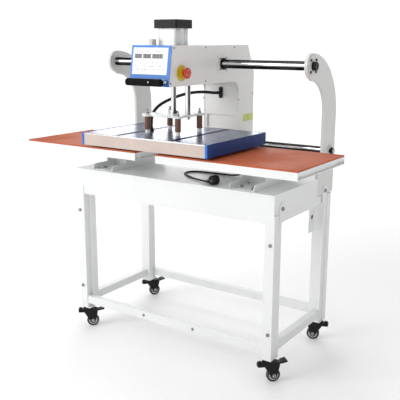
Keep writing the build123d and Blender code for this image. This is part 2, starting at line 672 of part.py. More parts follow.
def control_board():
    """Controller circuit board with its transformer and relay, inside the arm behind the panel."""
    board = on_front(-70, 70, 20, 110, -18, -16)
    transformer = on_front(-60, -25, 60, 95, -40, -18)
    relay = on_front(10, 40, 70, 95, -34, -18)
    return joined([board, transformer, relay])


STOP_Y, STOP_Z = FRONT - 12, DECK_TOP + 430


def stop_ring():
    """Yellow ring and the fixed neck of the emergency stop."""
    x = HEAD_HALF
    ring = rod((x, STOP_Y, STOP_Z), (x + 4, STOP_Y, STOP_Z), 30)
    neck = rod((x + 3, STOP_Y, STOP_Z), (x + 12, STOP_Y, STOP_Z), 14)
    return (ring + neck) - rod((x + 1, STOP_Y, STOP_Z), (x + 13, STOP_Y, STOP_Z), 7 + 0.2)


def stop_button():
    """Red mushroom button on its stem."""
    x = HEAD_HALF
    stem = rod((x + 6, STOP_Y, STOP_Z), (x + 19, STOP_Y, STOP_Z), 7)
    neck = rod((x + 17, STOP_Y, STOP_Z), (x + 23, STOP_Y, STOP_Z), 10, 17)
    cap = rod((x + 23, STOP_Y, STOP_Z), (x + 34, STOP_Y, STOP_Z), 21)
    cap = fillet(cap.edges().filter_by(GeomType.CIRCLE), 4)
    return joined([stem, neck, cap])


def start_button():
    """Small round start button on the panel's right leg."""
    return on_slope_button(START_R, 3, 8.5)


def hose_gland():
    """Flange and nut on the column where the heater's hose ends."""
    x = 0
    plate = box(x - 8, x + 8, HOSE_HEAD_Y + 6, COLUMN_FRONT + 2, GLAND_HEAD_Z - 25, GLAND_HEAD_Z + 25)
    plate = fillet(plate.edges().filter_by(Axis.Y), 7.5)
    nut = rod((x, HOSE_HEAD_Y, GLAND_HEAD_Z), (x, HOSE_HEAD_Y + 7, GLAND_HEAD_Z), 8)
    return plate + nut


def air_valve():
    """Solenoid valve that switches the cylinder, inside the arm behind it."""
    y0 = RAM_Y + 75
    body = box(-22, 22, y0, y0 + 60, FLOOR_Z, FLOOR_Z + 40)
    coil = box(-18, 18, y0 + 8, y0 + 40, FLOOR_Z + 40, FLOOR_Z + 78)
    return body + coil


# ---- ram: everything that the air cylinder pushes down ------------------------------------------
def piston_rod():
    """Piston, rod and the clamp hub that holds the press plate."""
    low = BARREL_TOP - 165
    piston = rod((0, RAM_Y, low), (0, RAM_Y, low + 25), BORE_R - FIT)
    shaft = rod((0, RAM_Y, PRESS_Z + PRESS_T), (0, RAM_Y, low + 1), ROD_R)
    hub = rod((0, RAM_Y, PRESS_Z + PRESS_T), (0, RAM_Y, PRESS_Z + PRESS_T + 12), 19)
    return joined([piston, shaft, hub])


def guide_rod():
    """Second rod that stops the press plate from turning, with its nut under the plate."""
    top = HEAD_BOTTOM + 85
    shaft = rod((GUIDE_X, RAM_Y, PRESS_Z + PRESS_T), (GUIDE_X, RAM_Y, top), ROD_R)
    thread = rod((GUIDE_X, RAM_Y, PRESS_Z - 12), (GUIDE_X, RAM_Y, PRESS_Z + PRESS_T + 1), 6)
    nut = Pos(GUIDE_X, RAM_Y, PRESS_Z - 9) * extrude(RegularPolygon(10, 6), 9)
    return joined([shaft, thread, nut])


def spacer_spots():
    """The four places where the heat platen hangs from the press plate."""
    return [(x, RAM_Y + y) for x in (-SPREAD, SPREAD) for y in (-SPREAD, SPREAD)]


def press_plate():
    """Round plate with four lobes, one over each spacer."""
    outline = Circle(92)
    for x, y in spacer_spots():
        outline = outline + Pos(x, y - RAM_Y) * Circle(21)
    plate = Pos(0, RAM_Y, PRESS_Z) * extrude(outline, PRESS_T)
    sharp = [e for e in plate.edges().filter_by(Axis.Z)]
    plate = fillet(sharp, 9)
    for x, y in spacer_spots():
        plate = plate - rod((x, y, PRESS_Z - 1), (x, y, PRESS_Z + PRESS_T + 1), 4 + FIT)
    return plate - rod((GUIDE_X, RAM_Y, PRESS_Z - 1), (GUIDE_X, RAM_Y, PRESS_Z + PRESS_T + 1), 6 + FIT)


def spacers():
    """Brown laminate tubes that keep the heat away from the head, on pale feet."""
    z0 = PLATEN_TOP + FOOT_H
    return group([tube((x, y, z0), (x, y, PRESS_Z), SPACER_R, 4 + FIT) for x, y in spacer_spots()])


def studs():
    """Threaded studs through the spacers, with a foot collar and two nuts each."""
    parts = []
    for x, y in spacer_spots():
        stud = rod((x, y, PLATEN_TOP), (x, y, PRESS_Z + PRESS_T + 20), 4)
        collar = rod((x, y, PLATEN_TOP), (x, y, PLATEN_TOP + FOOT_H), 8.5)
        nut = Pos(x, y, PRESS_Z + PRESS_T) * extrude(RegularPolygon(7.5, 6), 8)
        parts.append(joined([stud, collar, nut]))
    return group(parts)


END_T = 3
END_RETURN = 10


def heat_block():
    """Cast aluminium heating plate."""
    half_l, half_d = PLATEN_L / 2 - END_T - 1, PLATEN_D / 2 - 3
    block = box(-half_l, half_l, PLATEN_Y - half_d, PLATEN_Y + half_d, PLATEN_Z, PLATEN_Z + BLOCK_T)
    return fillet(block.edges().filter_by(Axis.Z), 3)


def platen_hood():
    """Folded hood over the heating plate: bright top, painted front and back."""
    half_l, half_d = PLATEN_L / 2 - END_T, PLATEN_D / 2
    y0, y1 = PLATEN_Y - half_d, PLATEN_Y + half_d
    outer = box(-half_l, half_l, y0, y1, PLATEN_Z + 0.5, PLATEN_TOP)
    outer = fillet(outer.edges().filter_by(Axis.X).group_by(Axis.Z)[-1], 3)
    inner = box(-half_l - 1, half_l + 1, y0 + 2, y1 - 2, PLATEN_Z - 1, PLATEN_TOP - 2)
    hood = outer - inner
    return hood - rod((HOSE_X, HOSE_Y, PLATEN_TOP - 5), (HOSE_X, HOSE_Y, PLATEN_TOP + 1), 5)


def platen_ends():
    """Blue end covers; each wraps a little round the front and the back."""
    half_l, half_d = PLATEN_L / 2, PLATEN_D / 2
    y0, y1 = PLATEN_Y - half_d, PLATEN_Y + half_d
    end = box(half_l - END_T, half_l, y0 - 1.5, y1 + 1.5, PLATEN_Z + 0.5, PLATEN_TOP + 1)
    for ya, yb in ((y0 - 1.5, y0), (y1, y1 + 1.5)):
        end = end + box(half_l - END_RETURN, half_l, ya, yb, PLATEN_Z + 0.5, PLATEN_TOP + 1)
    return group([end, mirrored(end)])


def heating_element():
    """Tubular element laid in hairpins on the heating plate."""
    z = PLATEN_Z + BLOCK_T + 4
    reach, pitch, rows = 250, 60, 6
    first = PLATEN_Y - pitch * (rows - 1) / 2
    parts = []
    for row in range(rows):
        y = first + row * pitch
        parts.append(rod((-reach, y, z), (reach, y, z), 4))
        if row:
            x = reach if row % 2 else -reach
            bend = Pos(x, y - pitch / 2, z) * Torus(pitch / 2, 4)
            keep = box(min(x, x * 2), max(x, x * 2), y - pitch - 10, y + 10, z - 5, z + 5)
            parts.append(bend & keep)
    return joined(parts)


HOSE_X, HOSE_Y = -111, FRONT + 52
HOSE_POINTS = [
    (HOSE_X, HOSE_Y, PLATEN_TOP + 14),
    (HOSE_X, HOSE_Y, DECK_TOP + 236),
    (HOSE_X + 1, HOSE_Y + 13, DECK_TOP + 264),
    (HOSE_X + 4, HOSE_Y + 42, DECK_TOP + 286),
    (HOSE_X + 10, HOSE_Y + 82, DECK_TOP + 302),
    (HOSE_X + 22, HOSE_Y + 130, DECK_TOP + 316),
    (HOSE_X + 38, HOSE_Y + 182, DECK_TOP + 328),
    (HOSE_X + 58, HOSE_Y + 236, DECK_TOP + 334),
    (HOSE_X + 82, HOSE_Y + 285, DECK_TOP + 333),
    (HEAD_X, HOSE_HEAD_Y - 36, GLAND_HEAD_Z),
    (HEAD_X, HOSE_HEAD_Y, GLAND_HEAD_Z),
]


def platen_gland():
    """Collar on the hood where the heater's hose begins."""
    base = rod((HOSE_X, HOSE_Y, PLATEN_TOP), (HOSE_X, HOSE_Y, PLATEN_TOP + 5), 11)
    neck = rod((HOSE_X, HOSE_Y, PLATEN_TOP + 4), (HOSE_X, HOSE_Y, PLATEN_TOP + 14), HOSE_R + 2.5)
    return base + neck


park = Pos(HEAD_X, 0, 0)
nodes["head_side_right"] = park * head_side()
nodes["head_side_left"] = park * mirrored(head_side())
nodes["head_cover"] = park * head_cover()
nodes["column_cover"] = park * column_cover()
nodes["slide_bushes"] = park * group([rail_bushes(), guide_bush()])
nodes["cylinder_barrel"] = park * cylinder_barrel()
nodes["cylinder_caps"] = park * group([cylinder_caps(), air_valve()])
nodes["exhaust_silencer"] = park * silencer()
nodes["control_board"] = park * control_board()
nodes["panel_frame"] = park * panel_frame()
nodes["panel_overlay"] = park * panel_overlay()
nodes["handle_bar"] = park * handle_bar()
nodes["stop_ring"] = park * stop_ring()
nodes["stop_button"] = park * stop_button()
nodes["start_button"] = park * start_button()
nodes["hose_gland"] = park * hose_gland()
nodes["piston_rod"] = park * piston_rod()
nodes["guide_rod"] = park * guide_rod()
nodes["press_plate"] = park * press_plate()
nodes["spacers"] = park * spacers()
nodes["spacer_studs"] = park * studs()
nodes["heat_block"] = park * heat_block()
nodes["platen_hood"] = park * platen_hood()
nodes["platen_ends"] = park * platen_ends()
nodes["heating_element"] = park * heating_element()
nodes["platen_gland"] = platen_gland()
nodes["heater_hose"] = cord_tube(HOSE_POINTS, HOSE_R, "heater hose")

os.makedirs("parts", exist_ok=True)
for name, shape in nodes.items():
    export_step(shape, f"parts/{name}.step")
print(len(nodes), "nodes")
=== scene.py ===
"""Looks of the twin-table heat press: finishes, small fittings, cords, lights and camera.

Everything is in metres, +Z up, with the front of the machine towards -Y.
"""
import bmesh
import bpy
from math import cos, pi, radians, sin
from mathutils import Matrix, Vector


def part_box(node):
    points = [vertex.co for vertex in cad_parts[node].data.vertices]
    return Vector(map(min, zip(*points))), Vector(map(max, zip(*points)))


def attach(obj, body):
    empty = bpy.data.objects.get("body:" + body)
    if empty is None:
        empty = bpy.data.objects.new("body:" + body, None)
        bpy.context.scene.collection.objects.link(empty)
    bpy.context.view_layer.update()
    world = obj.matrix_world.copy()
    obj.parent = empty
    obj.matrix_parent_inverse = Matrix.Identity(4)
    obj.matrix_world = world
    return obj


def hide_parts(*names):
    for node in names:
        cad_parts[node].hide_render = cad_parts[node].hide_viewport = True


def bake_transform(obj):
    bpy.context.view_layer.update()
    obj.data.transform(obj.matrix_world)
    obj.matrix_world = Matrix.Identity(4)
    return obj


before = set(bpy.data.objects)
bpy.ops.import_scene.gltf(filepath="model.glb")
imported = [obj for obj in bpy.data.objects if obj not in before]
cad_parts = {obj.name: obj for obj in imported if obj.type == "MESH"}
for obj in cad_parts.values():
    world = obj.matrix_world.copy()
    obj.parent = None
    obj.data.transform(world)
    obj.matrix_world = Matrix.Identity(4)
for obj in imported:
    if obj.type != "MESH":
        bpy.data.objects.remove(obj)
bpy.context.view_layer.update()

MM = 0.001
# The way each caster trails, in degrees from +X.
HEADINGS = {"front_left": 40, "front_right": 48, "back_left": 58, "back_right": 198}
ENDS = tuple(HEADINGS)


def low(node):
    return Vector(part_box(node)[0])


def high(node):
    return Vector(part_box(node)[1])


def middle(node):
    return (low(node) + high(node)) / 2


def outer_face(node, side):
    """Where a node's right (1) or left (-1) face stands."""
    return high(node).x if side > 0 else low(node).x


# ---- camera -------------------------------------------------------------------------------------
CAMERA_LENS = 60.6
CAMERA_X = 1.6139
CAMERA_Y = -2.3323
CAMERA_OVER_DECK = 0.5527
CAMERA_TURN = (radians(90 - 13.36), radians(-0.15), radians(34.15))


def add_camera():
    data = bpy.data.cameras.new("camera")
    data.lens = CAMERA_LENS
    data.sensor_width = 36
    data.clip_end = 60
    camera = bpy.data.objects.new("camera", data)
    camera.location = (CAMERA_X, CAMERA_Y, high("deck_tray").z + CAMERA_OVER_DECK)
    camera.rotation_euler = CAMERA_TURN
    bpy.context.scene.collection.objects.link(camera)
    bpy.context.scene.camera = camera


add_camera()


# ---- material tools -----------------------------------------------------------------------------
class Finish:
    """A material being built: its node tree, its shader and its pattern coordinates."""

    def __init__(self, name, color, roughness, metallic=0.0):
        self.material = bpy.data.materials.new(name)
        self.material.use_nodes = True
        self.tree = self.material.node_tree
        self.shader = self.tree.nodes["Principled BSDF"]
        self.shader.inputs["Base Color"].default_value = (*color, 1)
        self.shader.inputs["Roughness"].default_value = roughness
        self.shader.inputs["Metallic"].default_value = metallic
        self.coords = self.node("ShaderNodeTexCoord").outputs["Object"]

    def node(self, kind, **settings):
        made = self.tree.nodes.new(kind)
        for key, value in settings.items():
            setattr(made, key, value)
        return made

    def link(self, source, target):
        self.tree.links.new(source, target)

    def mapped(self, stretch):
        """Object coordinates, stretched along each axis."""
        mapping = self.node("ShaderNodeMapping")
        mapping.inputs["Scale"].default_value = stretch
        self.link(self.coords, mapping.inputs["Vector"])
        return mapping.outputs["Vector"]

    def noise(self, scale, detail, stretch=(1, 1, 1)):
        texture = self.node("ShaderNodeTexNoise")
        texture.inputs["Scale"].default_value = scale
        texture.inputs["Detail"].default_value = detail
        self.link(self.mapped(stretch), texture.inputs["Vector"])
        return texture.outputs["Fac"]

    def cells(self, scale):
        texture = self.node("ShaderNodeTexVoronoi")
        texture.inputs["Scale"].default_value = scale
        self.link(self.coords, texture.inputs["Vector"])
        return texture.outputs["Distance"]

    def waves(self, scale, direction, distortion=0.0):
        texture = self.node("ShaderNodeTexWave", bands_direction=direction)
        texture.inputs["Scale"].default_value = scale
        texture.inputs["Distortion"].default_value = distortion
        self.link(self.coords, texture.inputs["Vector"])
        return texture.outputs["Fac"]

    def spread(self, value, low_at, high_at, out_low=0.0, out_high=1.0):
        """Stretch a value between two limits."""
        span = self.node("ShaderNodeMapRange")
        span.inputs["From Min"].default_value = low_at
        span.inputs["From Max"].default_value = high_at
        span.inputs["To Min"].default_value = out_low
        span.inputs["To Max"].default_value = out_high
        self.link(value, span.inputs["Value"])
        return span.outputs["Result"]

    def axis(self, letter):
        split = self.node("ShaderNodeSeparateXYZ")
        self.link(self.coords, split.inputs["Vector"])
        return split.outputs[letter]

    def math(self, operation, first, second):
        """One arithmetic step; each side is a number or a socket."""
        made = self.node("ShaderNodeMath", operation=operation)
        for socket, value in zip(made.inputs, (first, second)):
            if isinstance(value, (int, float)):
                socket.default_value = value
            else:
                self.link(value, socket)
        return made.outputs[0]

    def mix(self, share, first, second):
        """Colour between first and second; either may be a colour or a socket."""
        made = self.node("ShaderNodeMix", data_type="RGBA")
        self.link(share, made.inputs["Factor"])
        for index, value in ((6, first), (7, second)):
            if isinstance(value, tuple):
                made.inputs[index].default_value = (*value, 1)
            else:
                self.link(value, made.inputs[index])
        return made.outputs[2]

    def color(self, socket):
        self.link(socket, self.shader.inputs["Base Color"])

    def roughness(self, value, rough_low, rough_high):
        """Roughness between two limits, led by a pattern's middle range."""
        self.link(self.spread(value, 0.3, 0.7, rough_low, rough_high), self.shader.inputs["Roughness"])

    def mottle(self, scale, detail, first, second, stretch=(1, 1, 1)):
        """Colour that clouds from first to second."""
        return self.mix(self.spread(self.noise(scale, detail, stretch), 0.35, 0.7), first, second)

    def dull(self, level):
        """Weaker surface gloss at every angle."""
        self.shader.inputs["Specular IOR Level"].default_value = level

    def coat(self, weight, roughness):
        self.shader.inputs["Coat Weight"].default_value = weight
        self.shader.inputs["Coat Roughness"].default_value = roughness

    def tint(self, color):
        """Colour of the gloss."""
        self.shader.inputs["Specular Tint"].default_value = (*color, 1)

    def metal(self, socket):
        self.link(socket, self.shader.inputs["Metallic"])

    def bump(self, value, strength, distance):
        """Relief from a pattern, on top of any relief given before."""
        made = self.node("ShaderNodeBump")
        made.inputs["Strength"].default_value = strength
        made.inputs["Distance"].default_value = distance
        self.link(value, made.inputs["Height"])
        last = self.shader.inputs["Normal"]
        if last.links:
            self.link(last.links[0].from_socket, made.inputs["Normal"])
        self.link(made.outputs["Normal"], last)


def shade(color, factor):
    return tuple(c * factor for c in color)


def tone_ramp(tree, value, stops, blueness=1.0):
    """Grey tone that follows a value through the given (position, tone) stops."""
    ramp = tree.nodes.new("ShaderNodeValToRGB")
    tree.links.new(value, ramp.inputs["Fac"])
    elements = ramp.color_ramp.elements
    for element, (position, tone) in zip(elements, (stops[0], stops[-1])):
        element.position = position
        element.color = (tone, tone, tone * blueness, 1)
    for position, tone in stops[1:-1]:
        elements.new(position).color = (tone, tone, tone * blueness, 1)
    return ramp.outputs["Color"]


# ---- finishes -----------------------------------------------------------------------------------
def powder_coat(name, color, roughness=0.38, dust=0.32, gloss=0.5):
    """Sprayed powder coat: fine orange peel, faint clouding, a little dust low down."""
    f = Finish(name, color, roughness)
    f.dull(gloss)
    tint = f.mottle(3.5, 4, color, shade(color, 0.965))
    low_down = f.spread(f.axis("Z"), 0.0, 0.25, 1, 0)
    grime = f.math("MULTIPLY", low_down, f.spread(f.noise(22, 5), 0.4, 0.75))
    f.color(f.mix(f.math("MULTIPLY", grime, dust), tint, shade(color, 0.72)))
    f.roughness(f.noise(45, 3), roughness - 0.05, roughness + 0.07)
    f.bump(f.noise(900, 1), 0.16, 0.4 * MM)
    f.coat(0.2 * gloss, 0.2)
    return f.material


def end_enamel(name):
    """Deep blue enamel on the end covers, with a painted highlight: brighter blue on their front faces."""
    f = Finish(name, (0.014, 0.05, 0.21), 0.36)
    f.dull(0.15)
    deep = f.mottle(6, 4, (0.014, 0.052, 0.22), (0.012, 0.044, 0.19))
    # Painted highlight: the front faces of the end covers take a brighter blue, as if lit from the front.
    painted_highlight_front = f.math("LESS_THAN", f.axis("Y"), low("platen_ends").y + 0.8 * MM)
    f.color(f.mix(painted_highlight_front, deep, (0.03, 0.17, 0.60)))
    f.roughness(f.noise(45, 3), 0.3, 0.42)
    f.bump(f.noise(900, 1), 0.16, 0.4 * MM)
    return f.material


# Painted reflection on the chrome, as tones: up a lying bar from its underside, and round an upright rod
# from its left side.
BAR_TONES = ((0.0, 0.22), (0.06, 0.03), (0.36, 0.02), (0.43, 0.30), (0.49, 0.86), (0.64, 0.90), (0.71, 0.35),
             (0.77, 0.03), (0.95, 0.02), (1.0, 0.2))
ROD_TONES = ((0.0, 0.1), (0.13, 0.05), (0.17, 0.9), (0.31, 0.95), (0.35, 0.3), (0.38, 0.03), (0.48, 0.03),
             (0.52, 0.7), (0.6, 0.8), (0.8, 0.8), (1.0, 0.1))
CHROME_BLUENESS = 1.02
CHROME_GLOSS = (0.35, 0.35, 0.37)


def ground_chrome(name, node):
    """Hard-chromed bar: mirror finish, faint grinding rings, and a painted reflection, dark on its crown and
    underside and bright between.
    """
    f = Finish(name, (0.8, 0.8, 0.81), 0.08, 1.0)
    f.tint(CHROME_GLOSS)
    rings = f.noise(60, 2, (40, 1, 1))
    f.roughness(rings, 0.06, 0.15)
    height = f.spread(f.axis("Z"), low(node).z, high(node).z)
    # film here is a painted reflection of the studio, in dark and bright bands by height up the bar.
    film = tone_ramp(f.tree, height, BAR_TONES, CHROME_BLUENESS)
    streaks = f.spread(f.noise(9, 3, (1, 6, 6)), 0.4, 0.7)
    f.color(f.mix(f.math("MULTIPLY", streaks, 0.08), film, (0.5, 0.5, 0.52)))
    f.bump(rings, 0.03, 0.2 * MM)
    return f.material


def upright_chrome(name, node):
    """Chromed vertical rod, with fine rings across it and a painted reflection, dark along its sides and
    bright between.
    """
    f = Finish(name, (0.74, 0.75, 0.76), 0.1, 1.0)
    f.tint(CHROME_GLOSS)
    rings = f.noise(60, 2, (1, 1, 40))
    f.roughness(rings, 0.08, 0.18)
    center = middle(node)
    x = f.math("SUBTRACT", f.axis("X"), center.x)
    y = f.math("SUBTRACT", f.axis("Y"), center.y)
    around = f.math("ARCTAN2", y, x)
    # film here is a painted reflection of the studio, in dark and bright bands by the angle round the rod.
    film = tone_ramp(f.tree, f.spread(around, -pi, pi), ROD_TONES, CHROME_BLUENESS)
    streaks = f.spread(f.noise(12, 3, (5, 5, 1)), 0.4, 0.7)
    f.color(f.mix(f.math("MULTIPLY", streaks, 0.25), film, (0.5, 0.5, 0.51)))
    f.bump(rings, 0.03, 0.2 * MM)
    return f.material


def zinc(name):
    """Zinc-plated fasteners: dull bright steel with thread-like rings and stains."""
    f = Finish(name, (0.6, 0.6, 0.58), 0.32, 1.0)
    stain = f.spread(f.noise(160, 4), 0.4, 0.68)
    f.color(f.mix(stain, (0.40, 0.40, 0.39), (0.20, 0.19, 0.18)))
    f.roughness(stain, 0.25, 0.42)
    f.bump(f.waves(420, "Z"), 0.5, 0.3 * MM)
    return f.material


def turned_steel(name):
    """Machined steel with fine tool marks as streaks."""
    f = Finish(name, (0.52, 0.52, 0.53), 0.3, 1.0)
    marks = f.noise(260, 2, (1, 1, 8))
    f.color(f.mix(f.spread(marks, 0.3, 0.7), (0.6, 0.6, 0.61), (0.42, 0.42, 0.43)))
    f.roughness(marks, 0.22, 0.4)
    f.bump(marks, 0.1, 0.2 * MM)
    return f.material


def silicone_pad(name):
    """Orange-brown silicone sponge: fine pores, faint cloth grid, pressed and paler areas."""
    base = (0.47, 0.105, 0.036)
    f = Finish(name, base, 0.62)
    f.dull(0.25)
    patches = f.spread(f.noise(5, 5), 0.35, 0.68)
    tone = f.mix(patches, base, (0.42, 0.088, 0.030))
    scuffs = f.spread(f.noise(26, 6, (1, 3, 1)), 0.62, 0.8)
    f.color(f.mix(f.math("MULTIPLY", scuffs, 0.35), tone, (0.54, 0.155, 0.07)))
    f.roughness(patches, 0.55, 0.7)
    f.bump(f.waves(300, "X"), 0.12, 0.3 * MM)
    f.bump(f.waves(300, "Y"), 0.12, 0.3 * MM)
    f.bump(f.cells(900), 0.25, 0.4 * MM)
    return f.material


# The hood is painted this far in from its front and back faces, and no higher than this below its top.
PAINT_IN = 2.5 * MM
PAINT_DOWN = 3.2 * MM


def hood_steel(name):
    """Bright rolled top with painted front and back faces, split where the sheet is folded down."""
    f = Finish(name, (0.7, 0.72, 0.78), 0.07, 1.0)
    f.tint((0.6, 0.62, 0.7))
    on_front = f.math("LESS_THAN", f.axis("Y"), low("platen_hood").y + PAINT_IN)
    on_back = f.math("GREATER_THAN", f.axis("Y"), high("platen_hood").y - PAINT_IN)
    below_fold = f.math("LESS_THAN", f.axis("Z"), high("platen_hood").z - PAINT_DOWN)
    painted = f.math("MULTIPLY", f.math("MAXIMUM", on_front, on_back), below_fold)
    bright = f.mottle(4, 4, (0.56, 0.57, 0.63), (0.48, 0.50, 0.57), (1, 5, 1))
    beige = f.mottle(14, 4, (0.58, 0.485, 0.43), (0.53, 0.445, 0.395))
    f.color(f.mix(painted, bright, beige))
    f.metal(f.math("SUBTRACT", 1, painted))
    rolled = f.spread(f.noise(130, 3, (1, 8, 1)), 0.3, 0.7, 0.2, 0.32)
    rough = f.math("ADD", f.math("MULTIPLY", painted, 0.36), rolled)
    f.link(rough, f.shader.inputs["Roughness"])
    f.bump(f.noise(160, 2, (1, 12, 1)), 0.03, 0.3 * MM)
    f.bump(f.noise(3, 2), 0.2, 1.5 * MM)
    return f.material


def moulded(name, color):
    """Moulded plastic with a fine spark-eroded grain and slight mottling."""
    f = Finish(name, color, 0.42)
    f.dull(0.2)
    f.color(f.mottle(40, 4, color, shade(color, 0.8)))
    f.roughness(f.noise(90, 3), 0.34, 0.5)
    f.bump(f.cells(700), 0.12, 0.3 * MM)
    return f.material


def cast_black(name):
    """Black-painted casting with a slightly rough skin and rubbed, paler spots."""
    f = Finish(name, (0.022, 0.023, 0.024), 0.36)
    f.dull(0.25)
    rub = f.spread(f.noise(70, 6), 0.62, 0.75)
    f.color(f.mix(rub, (0.004, 0.004, 0.004), (0.016, 0.016, 0.017)))
    f.roughness(f.noise(60, 3), 0.34, 0.5)
    f.bump(f.noise(500, 4), 0.2, 0.4 * MM)
    return f.material


def drawn_aluminium(name, color):
    """Drawn and anodised aluminium, with faint streaks along the drawing direction."""
    f = Finish(name, color, 0.3, 0.35)
    streaks = f.noise(220, 3, (1, 1, 0.03))
    f.color(f.mix(f.spread(streaks, 0.3, 0.7), color, shade(color, 0.85)))
    f.roughness(streaks, 0.26, 0.42)
    f.bump(streaks, 0.05, 0.2 * MM)
    return f.material


def laminate(name):
    """Brown phenolic tube: wound cloth layers that show as fine rings."""
    f = Finish(name, (0.13, 0.05, 0.025), 0.36)
    rings = f.waves(230, "Z", distortion=1.5)
    f.color(f.mix(f.spread(rings, 0.2, 0.8), (0.20, 0.080, 0.045), (0.105, 0.042, 0.024)))
    f.roughness(f.noise(120, 3), 0.28, 0.46)
    f.bump(rings, 0.15, 0.25 * MM)
    return f.material


def rubber(name):
    """Black rubber with a soft bloom and fine moulding texture."""
    black = (0.005, 0.005, 0.005)
    f = Finish(name, black, 0.6)
    f.dull(0.05)
    bloom = f.spread(f.noise(30, 5), 0.4, 0.72)
    f.color(f.mix(bloom, black, shade(black, 2.2)))
    f.roughness(f.noise(80, 3), 0.5, 0.68)
    f.bump(f.noise(700, 2), 0.18, 0.3 * MM)
    return f.material


def sheath(name):
    """Black cord sheath with a faint grain and a dusty sheen."""
    f = Finish(name, (0.010, 0.010, 0.011), 0.34)
    f.dull(0.2)
    f.color(f.mix(f.spread(f.noise(60, 4), 0.45, 0.75), (0.010, 0.010, 0.011), (0.030, 0.030, 0.031)))
    f.roughness(f.noise(110, 3), 0.26, 0.44)
    f.bump(f.noise(420, 2), 0.1, 0.3 * MM)
    return f.material


def circuit_board(name):
    """Green board with copper tracks under the lacquer."""
    f = Finish(name, (0.02, 0.12, 0.05), 0.35)
    tracks = f.spread(f.waves(90, "X", distortion=6), 0.55, 0.62)
    f.color(f.mix(tracks, (0.015, 0.10, 0.04), (0.05, 0.22, 0.09)))
    f.bump(tracks, 0.2, 0.2 * MM)
    return f.material


def keypad_film(name):
    """Satin polyester film over the keys: near-white, a hint of blue, fine matt grain."""
    f = Finish(name, (0.86, 0.88, 0.91), 0.3)
    f.color(f.mottle(18, 3, (0.80, 0.82, 0.85), (0.75, 0.78, 0.82)))
    f.roughness(f.noise(220, 2), 0.26, 0.36)
    f.bump(f.noise(1200, 1), 0.08, 0.2 * MM)
    return f.material


def sintered_bronze(name):
    """Sintered bronze silencer: packed grains."""
    f = Finish(name, (0.62, 0.60, 0.56), 0.4, 1.0)
    grains = f.cells(700)
    f.color(f.mix(f.spread(grains, 0.1, 0.6), (0.74, 0.72, 0.68), (0.42, 0.40, 0.36)))
    f.bump(grains, 0.6, 0.5 * MM)
    return f.material


def glossy(name, color, roughness=0.18, coat=0.4):
    """Glossy moulded plastic with fine swirl marks."""
    f = Finish(name, color, roughness)
    f.color(f.mottle(60, 4, color, shade(color, 0.86)))
    f.roughness(f.noise(140, 4), roughness - 0.06, roughness + 0.1)
    f.coat(coat, 0.08)
    f.bump(f.noise(260, 2), 0.04, 0.2 * MM)
    return f.material


def scaled_steel(name):
    """Heating element: steel sheath browned by heat."""
    f = Finish(name, (0.3, 0.27, 0.24), 0.45, 1.0)
    f.color(f.mottle(35, 4, (0.36, 0.32, 0.27), (0.16, 0.14, 0.13)))
    f.bump(f.noise(400, 3), 0.15, 0.3 * MM)
    return f.material


def cast_plate(name):
    """As-cast aluminium with sand texture."""
    f = Finish(name, (0.66, 0.66, 0.66), 0.42, 1.0)
    f.color(f.mottle(60, 4, (0.7, 0.7, 0.7), (0.55, 0.55, 0.55)))
    f.bump(f.noise(380, 4), 0.25, 0.4 * MM)
    return f.material


# Radii of the pale ring in a caster wheel's web, and where its tread starts.
RING_INNER = 13.5 * MM
RING_OUTER = 20 * MM
TREAD_INNER = 26.8 * MM


def across_caster(end):
    """Direction of a caster's axle."""
    turn = radians(HEADINGS[end])
    return Vector((-sin(turn), cos(turn), 0))


def wheel_finish(name, end):
    """Caster wheel: black tyre, greyer tread and a pale ring in its web, by distance from the axle."""
    f = Finish(name, (0.03, 0.03, 0.03), 0.5)
    offset = f.node("ShaderNodeVectorMath", operation="SUBTRACT")
    offset.inputs[1].default_value = middle(f"caster_wheel_{end}")
    f.link(f.coords, offset.inputs[0])
    across = f.node("ShaderNodeVectorMath", operation="CROSS_PRODUCT")
    across.inputs[1].default_value = across_caster(end)
    f.link(offset.outputs[0], across.inputs[0])
    reach = f.node("ShaderNodeVectorMath", operation="LENGTH")
    f.link(across.outputs[0], reach.inputs[0])
    distance = reach.outputs["Value"]
    tread = f.math("GREATER_THAN", distance, TREAD_INNER)
    past_hub = f.math("GREATER_THAN", distance, RING_INNER)
    ring = f.math("MULTIPLY", past_hub, f.math("LESS_THAN", distance, RING_OUTER))
    mottled = f.spread(f.noise(120, 4), 0.35, 0.7)
    grey = f.mix(mottled, (0.10, 0.10, 0.10), (0.06, 0.06, 0.06))
    black = f.mix(mottled, (0.012, 0.012, 0.013), (0.028, 0.028, 0.029))
    f.color(f.mix(ring, f.mix(tread, black, grey), (0.66, 0.66, 0.65)))
    f.roughness(f.noise(160, 3), 0.32, 0.5)
    f.bump(f.noise(500, 3), 0.15, 0.3 * MM)
    return f.material


# The floor brightens between these distances from the machine, in metres.
GLOW_FROM = 1.5
GLOW_FULL = 7


def floor_finish(name):
    """Pale studio floor, very slightly uneven, that brightens far from the machine."""
    f = Finish(name, (0.9, 0.9, 0.9), 0.6)
    f.dull(0.1)
    away = f.node("ShaderNodeVectorMath", operation="LENGTH")
    f.link(f.coords, away.inputs[0])
    glow = f.spread(away.outputs["Value"], GLOW_FROM, GLOW_FULL, 0.11, 0.5)
    f.shader.inputs["Emission Color"].default_value = (1, 1, 1, 1)
    f.link(glow, f.shader.inputs["Emission Strength"])
    f.color(f.mix(f.spread(f.noise(0.8, 2), 0.3, 0.7), (0.90, 0.90, 0.90), (0.885, 0.885, 0.885)))
    f.bump(f.noise(60, 2), 0.02, 0.3 * MM)
    return f.material


def printed_ink(name, color, roughness=0.4):
    """Printed ink or a display's window, with a slight mottle."""
    f = Finish(name, color, roughness)
    f.color(f.mix(f.spread(f.noise(300, 3), 0.3, 0.7), color, shade(color, 0.85)))
    f.roughness(f.noise(400, 2), roughness - 0.05, roughness + 0.05)
    return f.material


